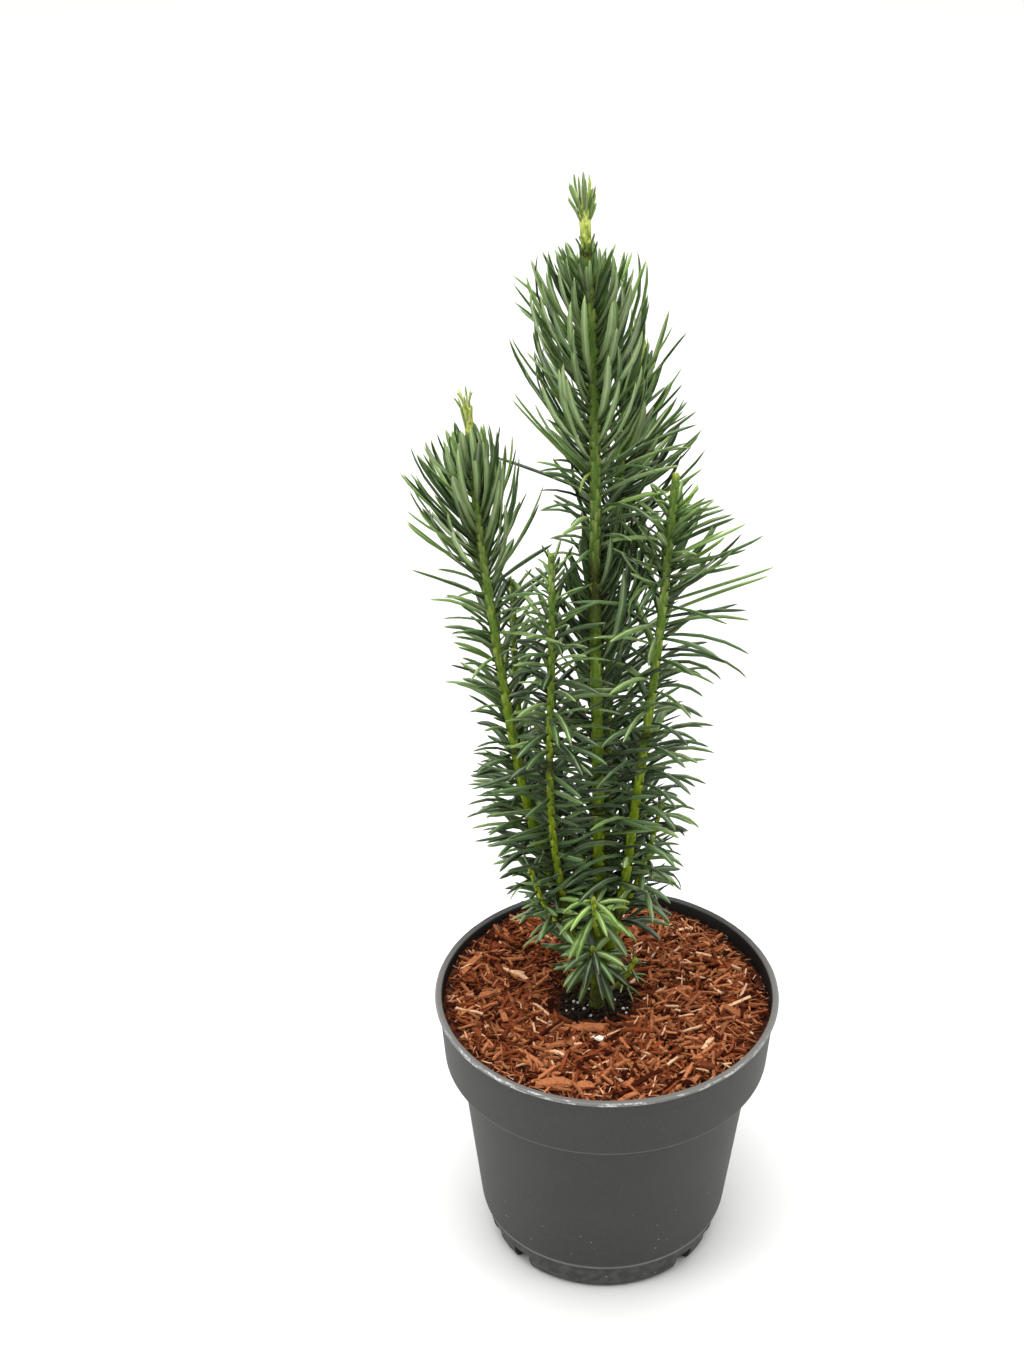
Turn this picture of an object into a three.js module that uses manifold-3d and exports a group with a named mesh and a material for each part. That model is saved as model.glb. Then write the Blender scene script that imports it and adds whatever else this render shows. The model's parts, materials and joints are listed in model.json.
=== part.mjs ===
// Potted fastigiata Japanese plum yew, a young upright conifer of six stems in a round nursery pot.
// Millimetres, +Z up. The origin is the middle of the pot's flat underside, and the plant is seen
// from -Y: its lean, forks and longest sprays are set for that side.

import * as THREE from "three";
import { mergeVertices } from "three/addons/utils/BufferGeometryUtils.js";
import Module from "manifold-3d";

const wasm = await Module();
wasm.setup();

// Driving dimensions of the pot
const POT_HEIGHT = 168;
const RIM_RADIUS = 100;
const LIP_HEIGHT = 4;
const LIP_OVERHANG = 2.2;
const LIP_ROUND = 0.8;
const COLLAR_DEPTH = 39.5;
const COLLAR_FOOT_RADIUS = 93.8;
const COLLAR_EDGE = 2.5;
const SHOULDER_DROP = 4;
const BODY_TOP_RADIUS = 84.9;
const BODY_FOOT_RADIUS = 73.4;
const BODY_FOOT_HEIGHT = 23.5;
const STEP_RADIUS = 69.4;
const STEP_HEIGHT = 19.5;
const BASE_RADIUS = 64;
const BASE_CHAMFER = 1.2;
const POT_WALL = 1.8;
const FLOOR_THICKNESS = 2.4;
const POT_SIDES = 32;
const FILL_SIDES = 16;
const DRAIN_SLOT = { width: 11, depth: 9, height: 6 };
const DRAIN_SLOT_ANGLES = [24, 46];

// Driving dimensions of what fills the pot
const GAP = 0.35;
const SOIL_TOP = 149;
const MULCH_EDGE = 160.5;
const MULCH_MIDDLE = 162.5;
const MULCH_SLOPE = 0.022;
const MULCH_LUMP = 1.1;
const PLUG_RADIUS = 25;
const PLUG_DEPTH = 34;
const GROUND = 158;
const STEM_FOOT = { x: -7, y: 0 };
const CHIP_COUNT = 12;
const CHIP = { length: [12, 24], width: [3, 6], thickness: [1.6, 2.6] };

// Driving dimensions of the stems
const ROOT_FLARE = 2.3;
const FLARE_HEIGHT = 7;
const STEM_SIDES = 6;
const SHOOT_SIDES = 5;
const STATION_SPACING = 36;
const FEWEST_STATIONS = 4;
const TRUNK_BUNCHING = 1.5;
const CORE_WALL = 0.8;

// Driving dimensions of the leaves
const LEAF_PITCH = 5.4;
const LEAF_WIDTH = 7;
const STUBBY_LEAF = 0.21;
const LEAF_ROOT = 0.3;
const OFF_MIDDLE = 0.4;
const LEAF_THICKNESS = 1;
const SHORT_BLADE = [0, 0.58, 1];
const LONG_BLADE = [0, 0.32, 0.72, 1];
const LONG_LEAF = 50;
const TURN_SPREAD = 24;
const LEAN_SPREAD = 14;
const TWIST_SPREAD = 40;
const LENGTH_SPREAD = 0.2;
const GOLDEN_ANGLE = 137.508;
const SHORTER_TRIES = [1, 0.85, 0.7, 0.55];
const TURNED_TRIES = [0, 25, -25];

// Each stem runs through a few points, from its foot or fork to its tip: x, y and height.
const STEMS = {
  centre: {
    path: [[-7, 0, 158], [-7, 0, 200], [-7.6, 0, 260], [-9.4, 0, 335], [-12, 0, 415], [-13, 0, 490],
      [-15.4, 0, 560], [-20.6, 0, 634]],
    radius: [2.7, 1.7],
  },
  inner_left: {
    path: [[-7.1, 0, 172], [-18, -7, 200], [-26.5, -10, 240], [-33, -12, 288], [-34.8, -12, 340],
      [-34, -12, 396], [-34.5, -12, 455]],
    radius: [1.8, 1.3],
  },
  right: {
    path: [[-7.1, 0, 178], [1.5, -3, 210], [7.4, -5, 252], [12, -5, 303], [18, -5, 363], [23, -5, 427],
      [27, -5, 497]],
    radius: [2.2, 1.5],
  },
  back: {
    path: [[-7.1, 0, 180], [-4.8, 14, 214], [-4, 21, 258], [-4, 26, 315], [-4, 29.5, 390],
      [-2.5, 30, 462], [9, 30, 556]],
    radius: [2.2, 1.5],
  },
  left: {
    path: [[-7.1, 0, 184], [-23, 2, 216], [-39, 3, 262], [-52, 1.5, 320], [-62, 0, 388], [-71, 0, 458],
      [-76.7, 0, 531]],
    radius: [2.2, 1.5],
  },
  back_left: {
    path: [[-7.2, 0, 198], [-22, 12, 225], [-37, 19, 256], [-48, 22, 300], [-54, 24.5, 356],
      [-56, 25, 420]],
    radius: [1.8, 1.3],
  },
};

// The short shoots low on the stems, set out in the same way.
const SHOOTS = {
  front_low: {
    path: [[-7, 0, 166], [2, -6, 175], [9, -13, 189], [14, -19, 206]],
    radius: [1.3, 1],
  },
  front_middle: {
    path: [[-7, 0, 187], [-8, -9, 194], [-11, -20, 206], [-13, -29, 221]],
    radius: [1.3, 1],
  },
  front_high: {
    path: [[-7.1, 0, 207], [-8, -11, 218], [-9, -21, 234], [-10, -29, 254]],
    radius: [1.4, 1.1],
  },
  right_short: {
    path: [[4.1, -4, 224], [12, 0, 240], [20, 3, 264], [26, 5, 294]],
    radius: [1.3, 1],
  },
  left_short: {
    path: [[-21.6, -8.4, 214], [-31, -14, 229], [-39, -17, 246], [-45, -18, 266]],
    radius: [1.3, 1],
  },
  back_short_left: {
    path: [[-4.7, 14.6, 216], [-12, 25, 229], [-18, 34, 246], [-20, 39, 266]],
    radius: [1.3, 1],
  },
  back_short_right: {
    path: [[-4.4, 18, 234], [6, 25, 246], [14, 30, 263], [18, 32, 284]],
    radius: [1.3, 1],
  },
};

// Each mass of leaves clothes one stretch of a stem: the heights where it starts and ends, and from
// there to there the leaf's length, its lean away from the stem and how far it curls outwards. Pitch
// is the rise from leaf to leaf where it isn't the usual one. Where late is high, the leaves change
// little at first and most near the end of the stretch.
const MASSES = {
  centre_tip: {
    stem: "centre", from: 621, to: 634, pitch: 1.4,
    leaf: [12, 17], lean: [40, 12], curl: [8, 0],
  },
  centre_top: {
    stem: "centre", from: 498, to: 594, pitch: 4,
    leaf: [62, 24], lean: [46, 18], curl: [-26, -12], late: 2.4,
  },
  left_top: {
    stem: "left", from: 434, to: 500, pitch: 4,
    leaf: [50, 20], lean: [46, 20], curl: [-22, -10], late: 2.2,
  },
  back_top: {
    stem: "back", from: 468, to: 536, pitch: 4.2,
    leaf: [56, 24], lean: [46, 18], curl: [-20, -8], late: 2.2,
  },
  right_top: {
    stem: "right", from: 430, to: 484, pitch: 4,
    leaf: [52, 16], lean: [64, 34], curl: [4, -8], late: 1.6,
  },
  left_tip: {
    stem: "left", from: 520, to: 531, pitch: 1.5,
    leaf: [10, 13], lean: [38, 12], curl: [6, 0],
  },
  back_tip: {
    stem: "back", from: 549.5, to: 556, pitch: 1.2,
    leaf: [11, 14], lean: [34, 12], curl: [4, 0],
  },
  centre_upper: {
    stem: "centre", from: 445, to: 497,
    leaf: [32, 36], lean: [62, 54], curl: [34, 6],
  },
  inner_left_upper: {
    stem: "inner_left", from: 330, to: 454,
    leaf: [31, 16], lean: [64, 30], curl: [12, 4], late: 2,
  },
  back_left_upper: {
    stem: "back_left", from: 318, to: 419,
    leaf: [28, 15], lean: [64, 28], curl: [10, 2], late: 2,
  },
  right_middle: {
    stem: "right", from: 345, to: 429,
    leaf: [50, 50], lean: [60, 62], curl: [50, 36],
  },
  left_middle: {
    stem: "left", from: 332, to: 433,
    leaf: [33, 36], lean: [74, 66], curl: [22, 8],
  },
  back_middle: {
    stem: "back", from: 350, to: 467,
    leaf: [36, 40], lean: [62, 52], curl: [16, 2],
  },
  centre_middle: {
    stem: "centre", from: 375, to: 444,
    leaf: [32, 40], lean: [66, 50], curl: [16, 4],
  },
  right_lower: {
    stem: "right", from: 216, to: 344,
    leaf: [30, 42], lean: [66, 62], curl: [40, 44],
  },
  left_lower: {
    stem: "left", from: 212, to: 331,
    leaf: [27, 31], lean: [68, 72], curl: [16, 18],
  },
  back_lower: {
    stem: "back", from: 200, to: 349,
    leaf: [26, 32], lean: [66, 64], curl: [18, 16],
  },
  centre_lower: {
    stem: "centre", from: 212, to: 374,
    leaf: [26, 30], lean: [70, 66], curl: [20, 16],
  },
  inner_left_lower: {
    stem: "inner_left", from: 192, to: 329,
    leaf: [24, 27], lean: [70, 68], curl: [16, 12],
  },
  back_left_lower: {
    stem: "back_left", from: 214, to: 317,
    leaf: [24, 27], lean: [70, 66], curl: [14, 12],
  },
  front_high_spray: {
    stem: "front_high", from: 222, to: 254, pitch: 2.6,
    leaf: [27, 22], lean: [84, 48], curl: [30, 16],
  },
  front_middle_spray: {
    stem: "front_middle", from: 196, to: 221, pitch: 2.6,
    leaf: [28, 22], lean: [84, 50], curl: [34, 16],
  },
  front_low_spray: {
    stem: "front_low", from: 178, to: 206, pitch: 3,
    leaf: [25, 20], lean: [78, 46], curl: [24, 10],
  },
  right_short_spray: {
    stem: "right_short", from: 240, to: 294,
    leaf: [27, 20], lean: [76, 44], curl: [38, 20],
  },
  left_short_spray: {
    stem: "left_short", from: 224, to: 266,
    leaf: [28, 21], lean: [76, 40], curl: [22, 12],
  },
  back_short_left_spray: {
    stem: "back_short_left", from: 226, to: 266,
    leaf: [27, 20], lean: [76, 42], curl: [26, 14],
  },
  back_short_right_spray: {
    stem: "back_short_right", from: 242, to: 284,
    leaf: [27, 20], lean: [76, 42], curl: [26, 14],
  },
};

const POT_COLOUR = 0x4d4e4c;
const SOIL_COLOUR = 0x2a211b;
const PLUG_COLOUR = 0x1d1815;
const MULCH_COLOUR = 0x8a4f2f;
const STEM_COLOUR = 0x7d8a3c;
const LEAF_COLOUR = 0x2f5236;
const YOUNG_LEAF_COLOUR = 0x86a645;
const YOUNG_MASSES = ["centre_tip", "left_tip", "back_tip", "front_high_spray"];

const plastic = { roughness: 0.62, metalness: 0 };
const matt = { roughness: 0.95, metalness: 0 };
const bark = { roughness: 0.8, metalness: 0 };
const waxy = { roughness: 0.42, metalness: 0 };

const between = (pair, share) => pair[0] + (pair[1] - pair[0]) * share;
const radians = THREE.MathUtils.degToRad;

// A repeatable row of numbers from 0 to 1, so that the plant grows the same way each time.
function seededNumbers(seed) {
  let state = seed;
  return () => {
    state = (Math.imul(state, 1664525) + 1013904223) >>> 0;
    return state / 2 ** 32;
  };
}

// The closed surface of a three.js geometry as a solid that can be joined and cut.
function solidOf(geometry) {
  const bare = geometry.clone();
  bare.deleteAttribute("normal");
  bare.deleteAttribute("uv");
  const merged = mergeVertices(bare, 1e-4);
  const corners = merged.index.array;
  const whole = [];
  for (let i = 0; i < corners.length; i += 3) {
    const [a, b, c] = corners.subarray(i, i + 3);
    if (a !== b && b !== c && c !== a) {
      whole.push(a, b, c);
    }
  }
  return new wasm.Manifold(new wasm.Mesh({
    numProp: 3,
    vertProperties: merged.attributes.position.array,
    triVerts: Uint32Array.from(whole),
  }));
}

// The largest body of a solid, without the scraps that a cut leaves and without sealed hollows.
function largestBody(solid) {
  return solid.decompose().reduce((best, body) => (body.volume() > best.volume() ? body : best));
}

function boxesMeet(a, b) {
  const one = a.boundingBox();
  const other = b.boundingBox();
  return [0, 1, 2].every((axis) => one.min[axis] < other.max[axis] && other.min[axis] < one.max[axis]);
}

const touches = (a, b) => boxesMeet(a, b) && !a.intersect(b).isEmpty();

// What is left of a solid once every cutter that reaches it is taken away.
function cutClear(solid, cutters) {
  return cutters.reduce((left, cutter) => (boxesMeet(left, cutter) ? left.subtract(cutter) : left), solid);
}

// Moves the rings of an upright unit cylinder or cone to a row of frames, so that it follows them.
function sweep(geometry, frames) {
  const position = geometry.attributes.position;
  const last = frames.length - 1;
  for (let i = 0; i < position.count; i += 1) {
    const frame = frames[Math.round((position.getY(i) + 0.5) * last)];
    const corner = frame.centre.clone();
    corner.addScaledVector(frame.across, position.getX(i) * frame.halfWidth);
    corner.addScaledVector(frame.up, position.getZ(i) * frame.halfDepth);
    position.setXYZ(i, corner.x, corner.y, corner.z);
  }
  return solidOf(geometry);
}

// A stem's stations, from foot to tip, each with its centre, its radius and two directions across it.
function stationsOf(stem, name) {
  const curve = new THREE.CatmullRomCurve3(
    stem.path.map((point) => new THREE.Vector3(...point)), false, "catmullrom", 0.5);
  const foot = stem.path[0][2];
  const height = stem.path.at(-1)[2] - foot;
  const count = Math.max(FEWEST_STATIONS, Math.round(height / STATION_SPACING));
  const bunching = name === "centre" ? TRUNK_BUNCHING : 1;
  const stations = [];
  for (let i = 0; i <= count; i += 1) {
    const share = (i / count) ** bunching;
    const centre = curve.getPoint(share);
    const along = curve.getTangent(share);
    const across = new THREE.Vector3(1, 0, 0).addScaledVector(along, -along.x).normalize();
    const up = across.clone().cross(along);
    const flare = name === "centre" ? ROOT_FLARE * Math.exp((foot - centre.z) / FLARE_HEIGHT) : 0;
    stations.push({ centre, along, across, up, radius: between(stem.radius, share) + flare });
  }
  // The flat cut at ground level
  if (name === "centre") {
    Object.assign(stations[0], {
      along: new THREE.Vector3(0, 0, 1),
      across: new THREE.Vector3(1, 0, 0),
      up: new THREE.Vector3(0, -1, 0),
    });
  }
  return stations;
}

// The station at one height, part of the way between two of the stem's own.
function stationAt(stations, height) {
  const next = Math.max(1, stations.findIndex((station) => station.centre.z >= height));
  const [below, above] = [stations[next - 1], stations[next]];
  const share = (height - below.centre.z) / (above.centre.z - below.centre.z);
  return {
    centre: below.centre.clone().lerp(above.centre, share),
    along: below.along.clone().lerp(above.along, share).normalize(),
    across: below.across.clone().lerp(above.across, share),
    up: below.up.clone().lerp(above.up, share),
    radius: THREE.MathUtils.lerp(below.radius, above.radius, share),
  };
}

// A round tube along stations, its radius greater than theirs by extra.
function tube(stations, extra, sides) {
  const frames = stations.map((station) => ({
    ...station, halfWidth: station.radius + extra, halfDepth: station.radius + extra,
  }));
  return sweep(new THREE.CylinderGeometry(1, 1, 1, sides, frames.length - 1), frames);
}

// The space that a stem takes with a gap round it and past its two ends.
function stemSpace(stations, sides) {
  const [foot, tip] = [stations[0], stations.at(-1)];
  const lowered = { ...foot, centre: foot.centre.clone().addScaledVector(foot.along, -GAP) };
  const raised = { ...tip, centre: tip.centre.clone().addScaledVector(tip.along, GAP) };
  return tube([lowered, ...stations, raised], GAP, sides);
}

// The frames along a leaf's midrib, which keeps one curvature from its root on the stem to its tip.
function leafFrames(leaf, shares, halfWidthAt, halfDepth) {
  const { root, along, out, length, lean, twist } = leaf;
  const bend = Math.abs(leaf.curl) < 0.01 ? 0.01 : leaf.curl;
  return shares.map((share) => {
    const angle = lean + bend * share;
    const centre = root.clone()
      .addScaledVector(along, (length / bend) * (Math.sin(angle) - Math.sin(lean)))
      .addScaledVector(out, (length / bend) * (Math.cos(lean) - Math.cos(angle)));
    const forward = along.clone().multiplyScalar(Math.cos(angle)).addScaledVector(out, Math.sin(angle));
    const across = along.clone().cross(out).applyAxisAngle(forward, twist);
    const up = across.clone().cross(forward);
    return { centre, across, up, halfWidth: halfWidthAt(share), halfDepth };
  });
}

// A leaf: a blade with a flat face and a keel, narrow at its root, widest near the middle, pointed.
function leafSolid(leaf) {
  const shares = leaf.length > LONG_LEAF ? LONG_BLADE : SHORT_BLADE;
  const halfWidthAt = (share) => {
    const fullness = share === 0 ? LEAF_ROOT : 1;
    return (leaf.width / 2) * fullness / Math.sin(Math.PI / 3);
  };
  const frames = leafFrames(leaf, shares, halfWidthAt, LEAF_THICKNESS / 1.5);
  return sweep(new THREE.ConeGeometry(1, 1, 3, shares.length - 1), frames);
}

// The space that a leaf takes outside its stem's core, with a gap on every side.
function leafSpace(leaf) {
  const shares = [(2 * CORE_WALL) / leaf.length, 0.36, 0.74, 1 + GAP / leaf.length];
  const halfWidth = (leaf.width / 2 + GAP) * Math.SQRT2;
  const frames = leafFrames(leaf, shares, () => halfWidth, (LEAF_THICKNESS / 1.5 + GAP) * Math.SQRT2);
  return sweep(new THREE.CylinderGeometry(1, 1, 1, 4, 3, false, Math.PI / 4), frames);
}

// A leaf's turn round a stem with flat sides, drawn towards the middle of the side that it stands on,
// and how far out that side lies there, as a share of the stem's radius.
function standOnSide(turn, sides) {
  const side = (2 * Math.PI) / sides;
  const fromMiddle = THREE.MathUtils.euclideanModulo(turn - Math.PI / 2, side) - side / 2;
  const kept = fromMiddle * OFF_MIDDLE;
  return { turn: turn - fromMiddle + kept, reach: Math.cos(side / 2) / Math.cos(kept) };
}

// The leaves of one mass wind up their stem by the golden angle, fewer and wider than life.
function leavesOf(mass, stations, sides, seed) {
  const random = seededNumbers(seed);
  const count = Math.round((mass.to - mass.from) / (mass.pitch ?? LEAF_PITCH));
  const leaves = [];
  for (let i = 0; i < count; i += 1) {
    const share = (i + 0.5) / count;
    const change = share ** (mass.late ?? 1);
    leaves.push({
      station: stationAt(stations, THREE.MathUtils.lerp(mass.from, mass.to, share)),
      sides,
      turn: radians(GOLDEN_ANGLE * i + TURN_SPREAD * (random() - 0.5)),
      length: between(mass.leaf, change) * (1 + LENGTH_SPREAD * (random() - 0.5)),
      lean: radians(between(mass.lean, change) + LEAN_SPREAD * (random() - 0.5)),
      curl: radians(between(mass.curl, change)),
      twist: radians(TWIST_SPREAD * (random() - 0.5)),
      width: Math.min(LEAF_WIDTH, between(mass.leaf, change) * STUBBY_LEAF),
    });
  }
  return leaves;
}

// The same leaf turned round its stem and shortened, with its root sunk in the wall of the core.
function placedLeaf(leaf, turned, shortened) {
  const { along, across, up, centre, radius } = leaf.station;
  const { turn, reach } = standOnSide(leaf.turn + radians(turned), leaf.sides);
  const side = across.clone().multiplyScalar(Math.cos(turn)).addScaledVector(up, Math.sin(turn));
  const out = side.addScaledVector(along, -side.dot(along)).normalize();
  const root = centre.clone().addScaledVector(out, reach * (radius + GAP + CORE_WALL / 2));
  return { ...leaf, along, out, root, length: leaf.length * shortened };
}

// The first place where a leaf is clear of everything that stands already, or nothing.
function clearPlace(leaf, taken) {
  for (const shortened of SHORTER_TRIES) {
    for (const turned of TURNED_TRIES) {
      const candidate = placedLeaf(leaf, turned, shortened);
      const space = leafSpace(candidate);
      if (!taken.some((solid) => touches(space, solid))) {
        return candidate;
      }
    }
  }
  return null;
}

// The slim core of a mass: the sleeve of leaf bases round its stretch of the stem.
function massCore(mass, stations, sides) {
  const inside = stations.filter(({ centre }) => centre.z > mass.from && centre.z < mass.to);
  const stretch = [stationAt(stations, mass.from), ...inside, stationAt(stations, mass.to)];
  return tube(stretch, GAP + CORE_WALL, sides);
}

// The pot's outer profile from its foot up: radius and height.
function potOutline() {
  const collarFoot = POT_HEIGHT - COLLAR_DEPTH;
  const collarTop = RIM_RADIUS - LIP_OVERHANG;
  return [
    [BASE_RADIUS - BASE_CHAMFER, 0],
    [BASE_RADIUS, BASE_CHAMFER],
    [STEP_RADIUS, STEP_HEIGHT],
    [BODY_FOOT_RADIUS - 1, STEP_HEIGHT + 1],
    [BODY_FOOT_RADIUS, BODY_FOOT_HEIGHT],
    [BODY_TOP_RADIUS, collarFoot - SHOULDER_DROP],
    [COLLAR_FOOT_RADIUS - COLLAR_EDGE, collarFoot - 1],
    [COLLAR_FOOT_RADIUS, collarFoot],
    [collarTop, POT_HEIGHT - LIP_HEIGHT],
    [RIM_RADIUS, POT_HEIGHT - LIP_HEIGHT + LIP_ROUND],
    [RIM_RADIUS, POT_HEIGHT - LIP_ROUND],
    [RIM_RADIUS - LIP_ROUND, POT_HEIGHT],
  ];
}

// The pot's inner profile from its rim down to its floor.
function potInside() {
  const collarFoot = POT_HEIGHT - COLLAR_DEPTH;
  return [
    [RIM_RADIUS - LIP_OVERHANG - POT_WALL, POT_HEIGHT],
    [COLLAR_FOOT_RADIUS - POT_WALL, collarFoot + POT_WALL],
    [BODY_TOP_RADIUS - POT_WALL, collarFoot - SHOULDER_DROP + POT_WALL],
    [BODY_FOOT_RADIUS - POT_WALL, BODY_FOOT_HEIGHT],
    [STEP_RADIUS - POT_WALL, STEP_HEIGHT],
    [BASE_RADIUS - POT_WALL, FLOOR_THICKNESS],
  ];
}

// The pot's inner radius at one height, less a gap.
function insideRadius(height) {
  const profile = potInside();
  const below = profile.findIndex((point) => point[1] <= height);
  const [upper, lower] = [profile[below - 1], profile[below]];
  return THREE.MathUtils.mapLinear(height, lower[1], upper[1], lower[0], upper[0]) - GAP;
}

// A solid turned about the vertical axis from a profile that runs from the axis, out, up and back.
function lathed(profile, sides) {
  const points = profile.map(([radius, height]) => new THREE.Vector2(radius, height));
  return solidOf(new THREE.LatheGeometry(points, sides).rotateX(Math.PI / 2));
}

function potSolid() {
  const shell = lathed([[0, 0], ...potOutline(), ...potInside(), [0, FLOOR_THICKNESS]], POT_SIDES);
  const slots = [];
  for (const side of [0, 180]) {
    for (const angle of DRAIN_SLOT_ANGLES.flatMap((value) => [value, -value])) {
      const slot = new THREE.BoxGeometry(2 * DRAIN_SLOT.depth, DRAIN_SLOT.width, 2 * DRAIN_SLOT.height);
      slot.translate(BASE_RADIUS, 0, 0);
      slot.rotateZ(radians(side + angle));
      slots.push(solidOf(slot));
    }
  }
  return cutClear(shell, slots);
}

// Potting soil fills the pot up to the mulch, and stops short of the drain slots and the root plug.
function soilSolid() {
  const floor = FLOOR_THICKNESS + GAP;
  const collarFoot = POT_HEIGHT - COLLAR_DEPTH + POT_WALL;
  const heights = [floor, STEP_HEIGHT, BODY_FOOT_HEIGHT, collarFoot - SHOULDER_DROP, collarFoot, SOIL_TOP];
  const wall = heights.map((height) => [insideRadius(height), height]);
  const soil = lathed([[0, floor], ...wall, [0, SOIL_TOP]], FILL_SIDES);
  return cutClear(soil, [plugSpace()]);
}

function plugProfile(extra) {
  return [
    [0, GROUND - GAP - PLUG_DEPTH - extra],
    [PLUG_RADIUS - 3 + extra, GROUND - GAP - PLUG_DEPTH - extra],
    [PLUG_RADIUS + extra, GROUND - 2 + extra],
  ];
}

// The dark peat block that the plant was raised in, with a level middle where the stem stands.
function plugSolid() {
  const top = GROUND - GAP;
  const crown = [[PLUG_RADIUS * 0.7, top - 0.4], [PLUG_RADIUS * 0.4, top], [0, top]];
  const plug = lathed([...plugProfile(0), ...crown], FILL_SIDES);
  return plug.translate([STEM_FOOT.x, STEM_FOOT.y, 0]);
}

function plugSpace() {
  const opening = [[PLUG_RADIUS + 2 + GAP, POT_HEIGHT], [0, POT_HEIGHT]];
  const space = lathed([...plugProfile(GAP), ...opening], FILL_SIDES);
  return space.translate([STEM_FOOT.x, STEM_FOOT.y, 0]);
}

// Height of the lumpy mulch surface at one place.
function mulchHeight(x, y) {
  const share = Math.hypot(x, y) / RIM_RADIUS;
  const lumps = Math.sin(x * 0.17 + 1) * Math.cos(y * 0.19) + Math.sin((x + y) * 0.09);
  const dome = THREE.MathUtils.lerp(MULCH_MIDDLE, MULCH_EDGE, share ** 2);
  return dome - MULCH_SLOPE * x + MULCH_LUMP * 0.5 * lumps;
}

// Shredded bark over the soil: a lumpy sheet round the plug, with the larger chips lying in it.
function mulchSolid() {
  const foot = SOIL_TOP + GAP;
  const edge = insideRadius(MULCH_EDGE - 2);
  const rings = [edge, edge * 0.8, edge * 0.6, edge * 0.4, edge * 0.2, 0];
  const profile = [[0, foot], [insideRadius(foot), foot], ...rings.map((radius) => [radius, MULCH_EDGE])];
  const points = profile.map(([radius, height]) => new THREE.Vector2(radius, height));
  const sheet = new THREE.LatheGeometry(points, FILL_SIDES).rotateX(Math.PI / 2);
  const position = sheet.attributes.position;
  for (let i = 0; i < position.count; i += 1) {
    if (position.getZ(i) > foot + 1) {
      position.setZ(i, mulchHeight(position.getX(i), position.getY(i)));
    }
  }
  const random = seededNumbers(77);
  const pieces = [solidOf(sheet)];
  for (let i = 0; i < CHIP_COUNT; i += 1) {
    const turn = radians(GOLDEN_ANGLE * i);
    const radius = Math.sqrt((i + 0.5) / CHIP_COUNT) * (edge - 14);
    const [x, y] = [radius * Math.cos(turn), radius * Math.sin(turn)];
    const thickness = between(CHIP.thickness, random());
    const length = between(CHIP.length, random());
    const chip = new THREE.BoxGeometry(length, between(CHIP.width, random()), thickness);
    chip.rotateY(radians(16 * (random() - 0.5)));
    chip.rotateZ(Math.PI * random());
    chip.translate(x, y, mulchHeight(x, y) + 0.2);
    pieces.push(solidOf(chip));
  }
  return largestBody(cutClear(wasm.Manifold.union(pieces), [plugSpace()]));
}

function meshOf(name, solid, colour, surface) {
  const { vertProperties, triVerts } = solid.getMesh();
  const geometry = new THREE.BufferGeometry();
  geometry.setAttribute("position", new THREE.BufferAttribute(vertProperties, 3));
  geometry.setIndex(new THREE.BufferAttribute(triVerts, 1));
  geometry.computeVertexNormals();
  const mesh = new THREE.Mesh(geometry, new THREE.MeshStandardMaterial({ color: colour, ...surface }));
  mesh.name = name;
  return mesh;
}

// Adds stems to those grown already, each whole from its foot or fork to its tip, and cut clear of them.
function growStems(grown, table, kind, sides) {
  for (const [name, stem] of Object.entries(table)) {
    const stations = stationsOf(stem, name);
    const others = Object.values(grown).map((other) => other.space);
    const solid = largestBody(cutClear(tube(stations, 0, sides), others));
    grown[name] = { kind, stations, solid, sides, space: stemSpace(stations, sides) };
  }
  return grown;
}

// The masses of leaves, placed one after another so that each keeps to its own space.
function growMasses(stems, ground) {
  const cores = {};
  for (const [name, mass] of Object.entries(MASSES)) {
    const { stations, sides } = stems[mass.stem];
    cores[name] = massCore(mass, stations, sides);
  }
  const grown = {};
  const spaces = Object.values(stems).map((stem) => stem.space);
  Object.entries(MASSES).forEach(([name, mass], order) => {
    const { stations, sides } = stems[mass.stem];
    const taken = [...ground, ...Object.values(grown)];
    taken.push(...Object.entries(stems).filter(([key]) => key !== mass.stem).map(([, stem]) => stem.solid));
    taken.push(...Object.entries(cores).filter(([key]) => key !== name).map(([, core]) => core));
    const leaves = [];
    for (const leaf of leavesOf(mass, stations, sides, 1000 + order)) {
      const placed = clearPlace(leaf, taken);
      if (placed !== null) {
        leaves.push(leafSolid(placed));
        taken.push(leaves.at(-1));
      }
    }
    grown[name] = largestBody(cutClear(wasm.Manifold.union([cores[name], ...leaves]), spaces));
  });
  return grown;
}

const plant = new THREE.Group();
const [pot, plug, mulch] = [potSolid(), plugSolid(), mulchSolid()];
const filledPot = new THREE.Group();
filledPot.add(
  meshOf("pot", pot, POT_COLOUR, plastic),
  meshOf("potting_soil", soilSolid(), SOIL_COLOUR, matt),
  meshOf("root_plug", plug, PLUG_COLOUR, matt),
  meshOf("bark_mulch", mulch, MULCH_COLOUR, bark),
);
plant.add(filledPot);

const stems = growStems(growStems({}, STEMS, "stem", STEM_SIDES), SHOOTS, "shoot", SHOOT_SIDES);
const stemGroup = new THREE.Group();
for (const [name, stem] of Object.entries(stems)) {
  stemGroup.add(meshOf(`${stem.kind}_${name}`, stem.solid, STEM_COLOUR, bark));
}
plant.add(stemGroup);

const foliage = new THREE.Group();
for (const [name, solid] of Object.entries(growMasses(stems, [pot, plug, mulch]))) {
  const colour = YOUNG_MASSES.includes(name) ? YOUNG_LEAF_COLOUR : LEAF_COLOUR;
  foliage.add(meshOf(`leaves_${name}`, solid, colour, waxy));
}
plant.add(foliage);

export default plant;
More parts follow.
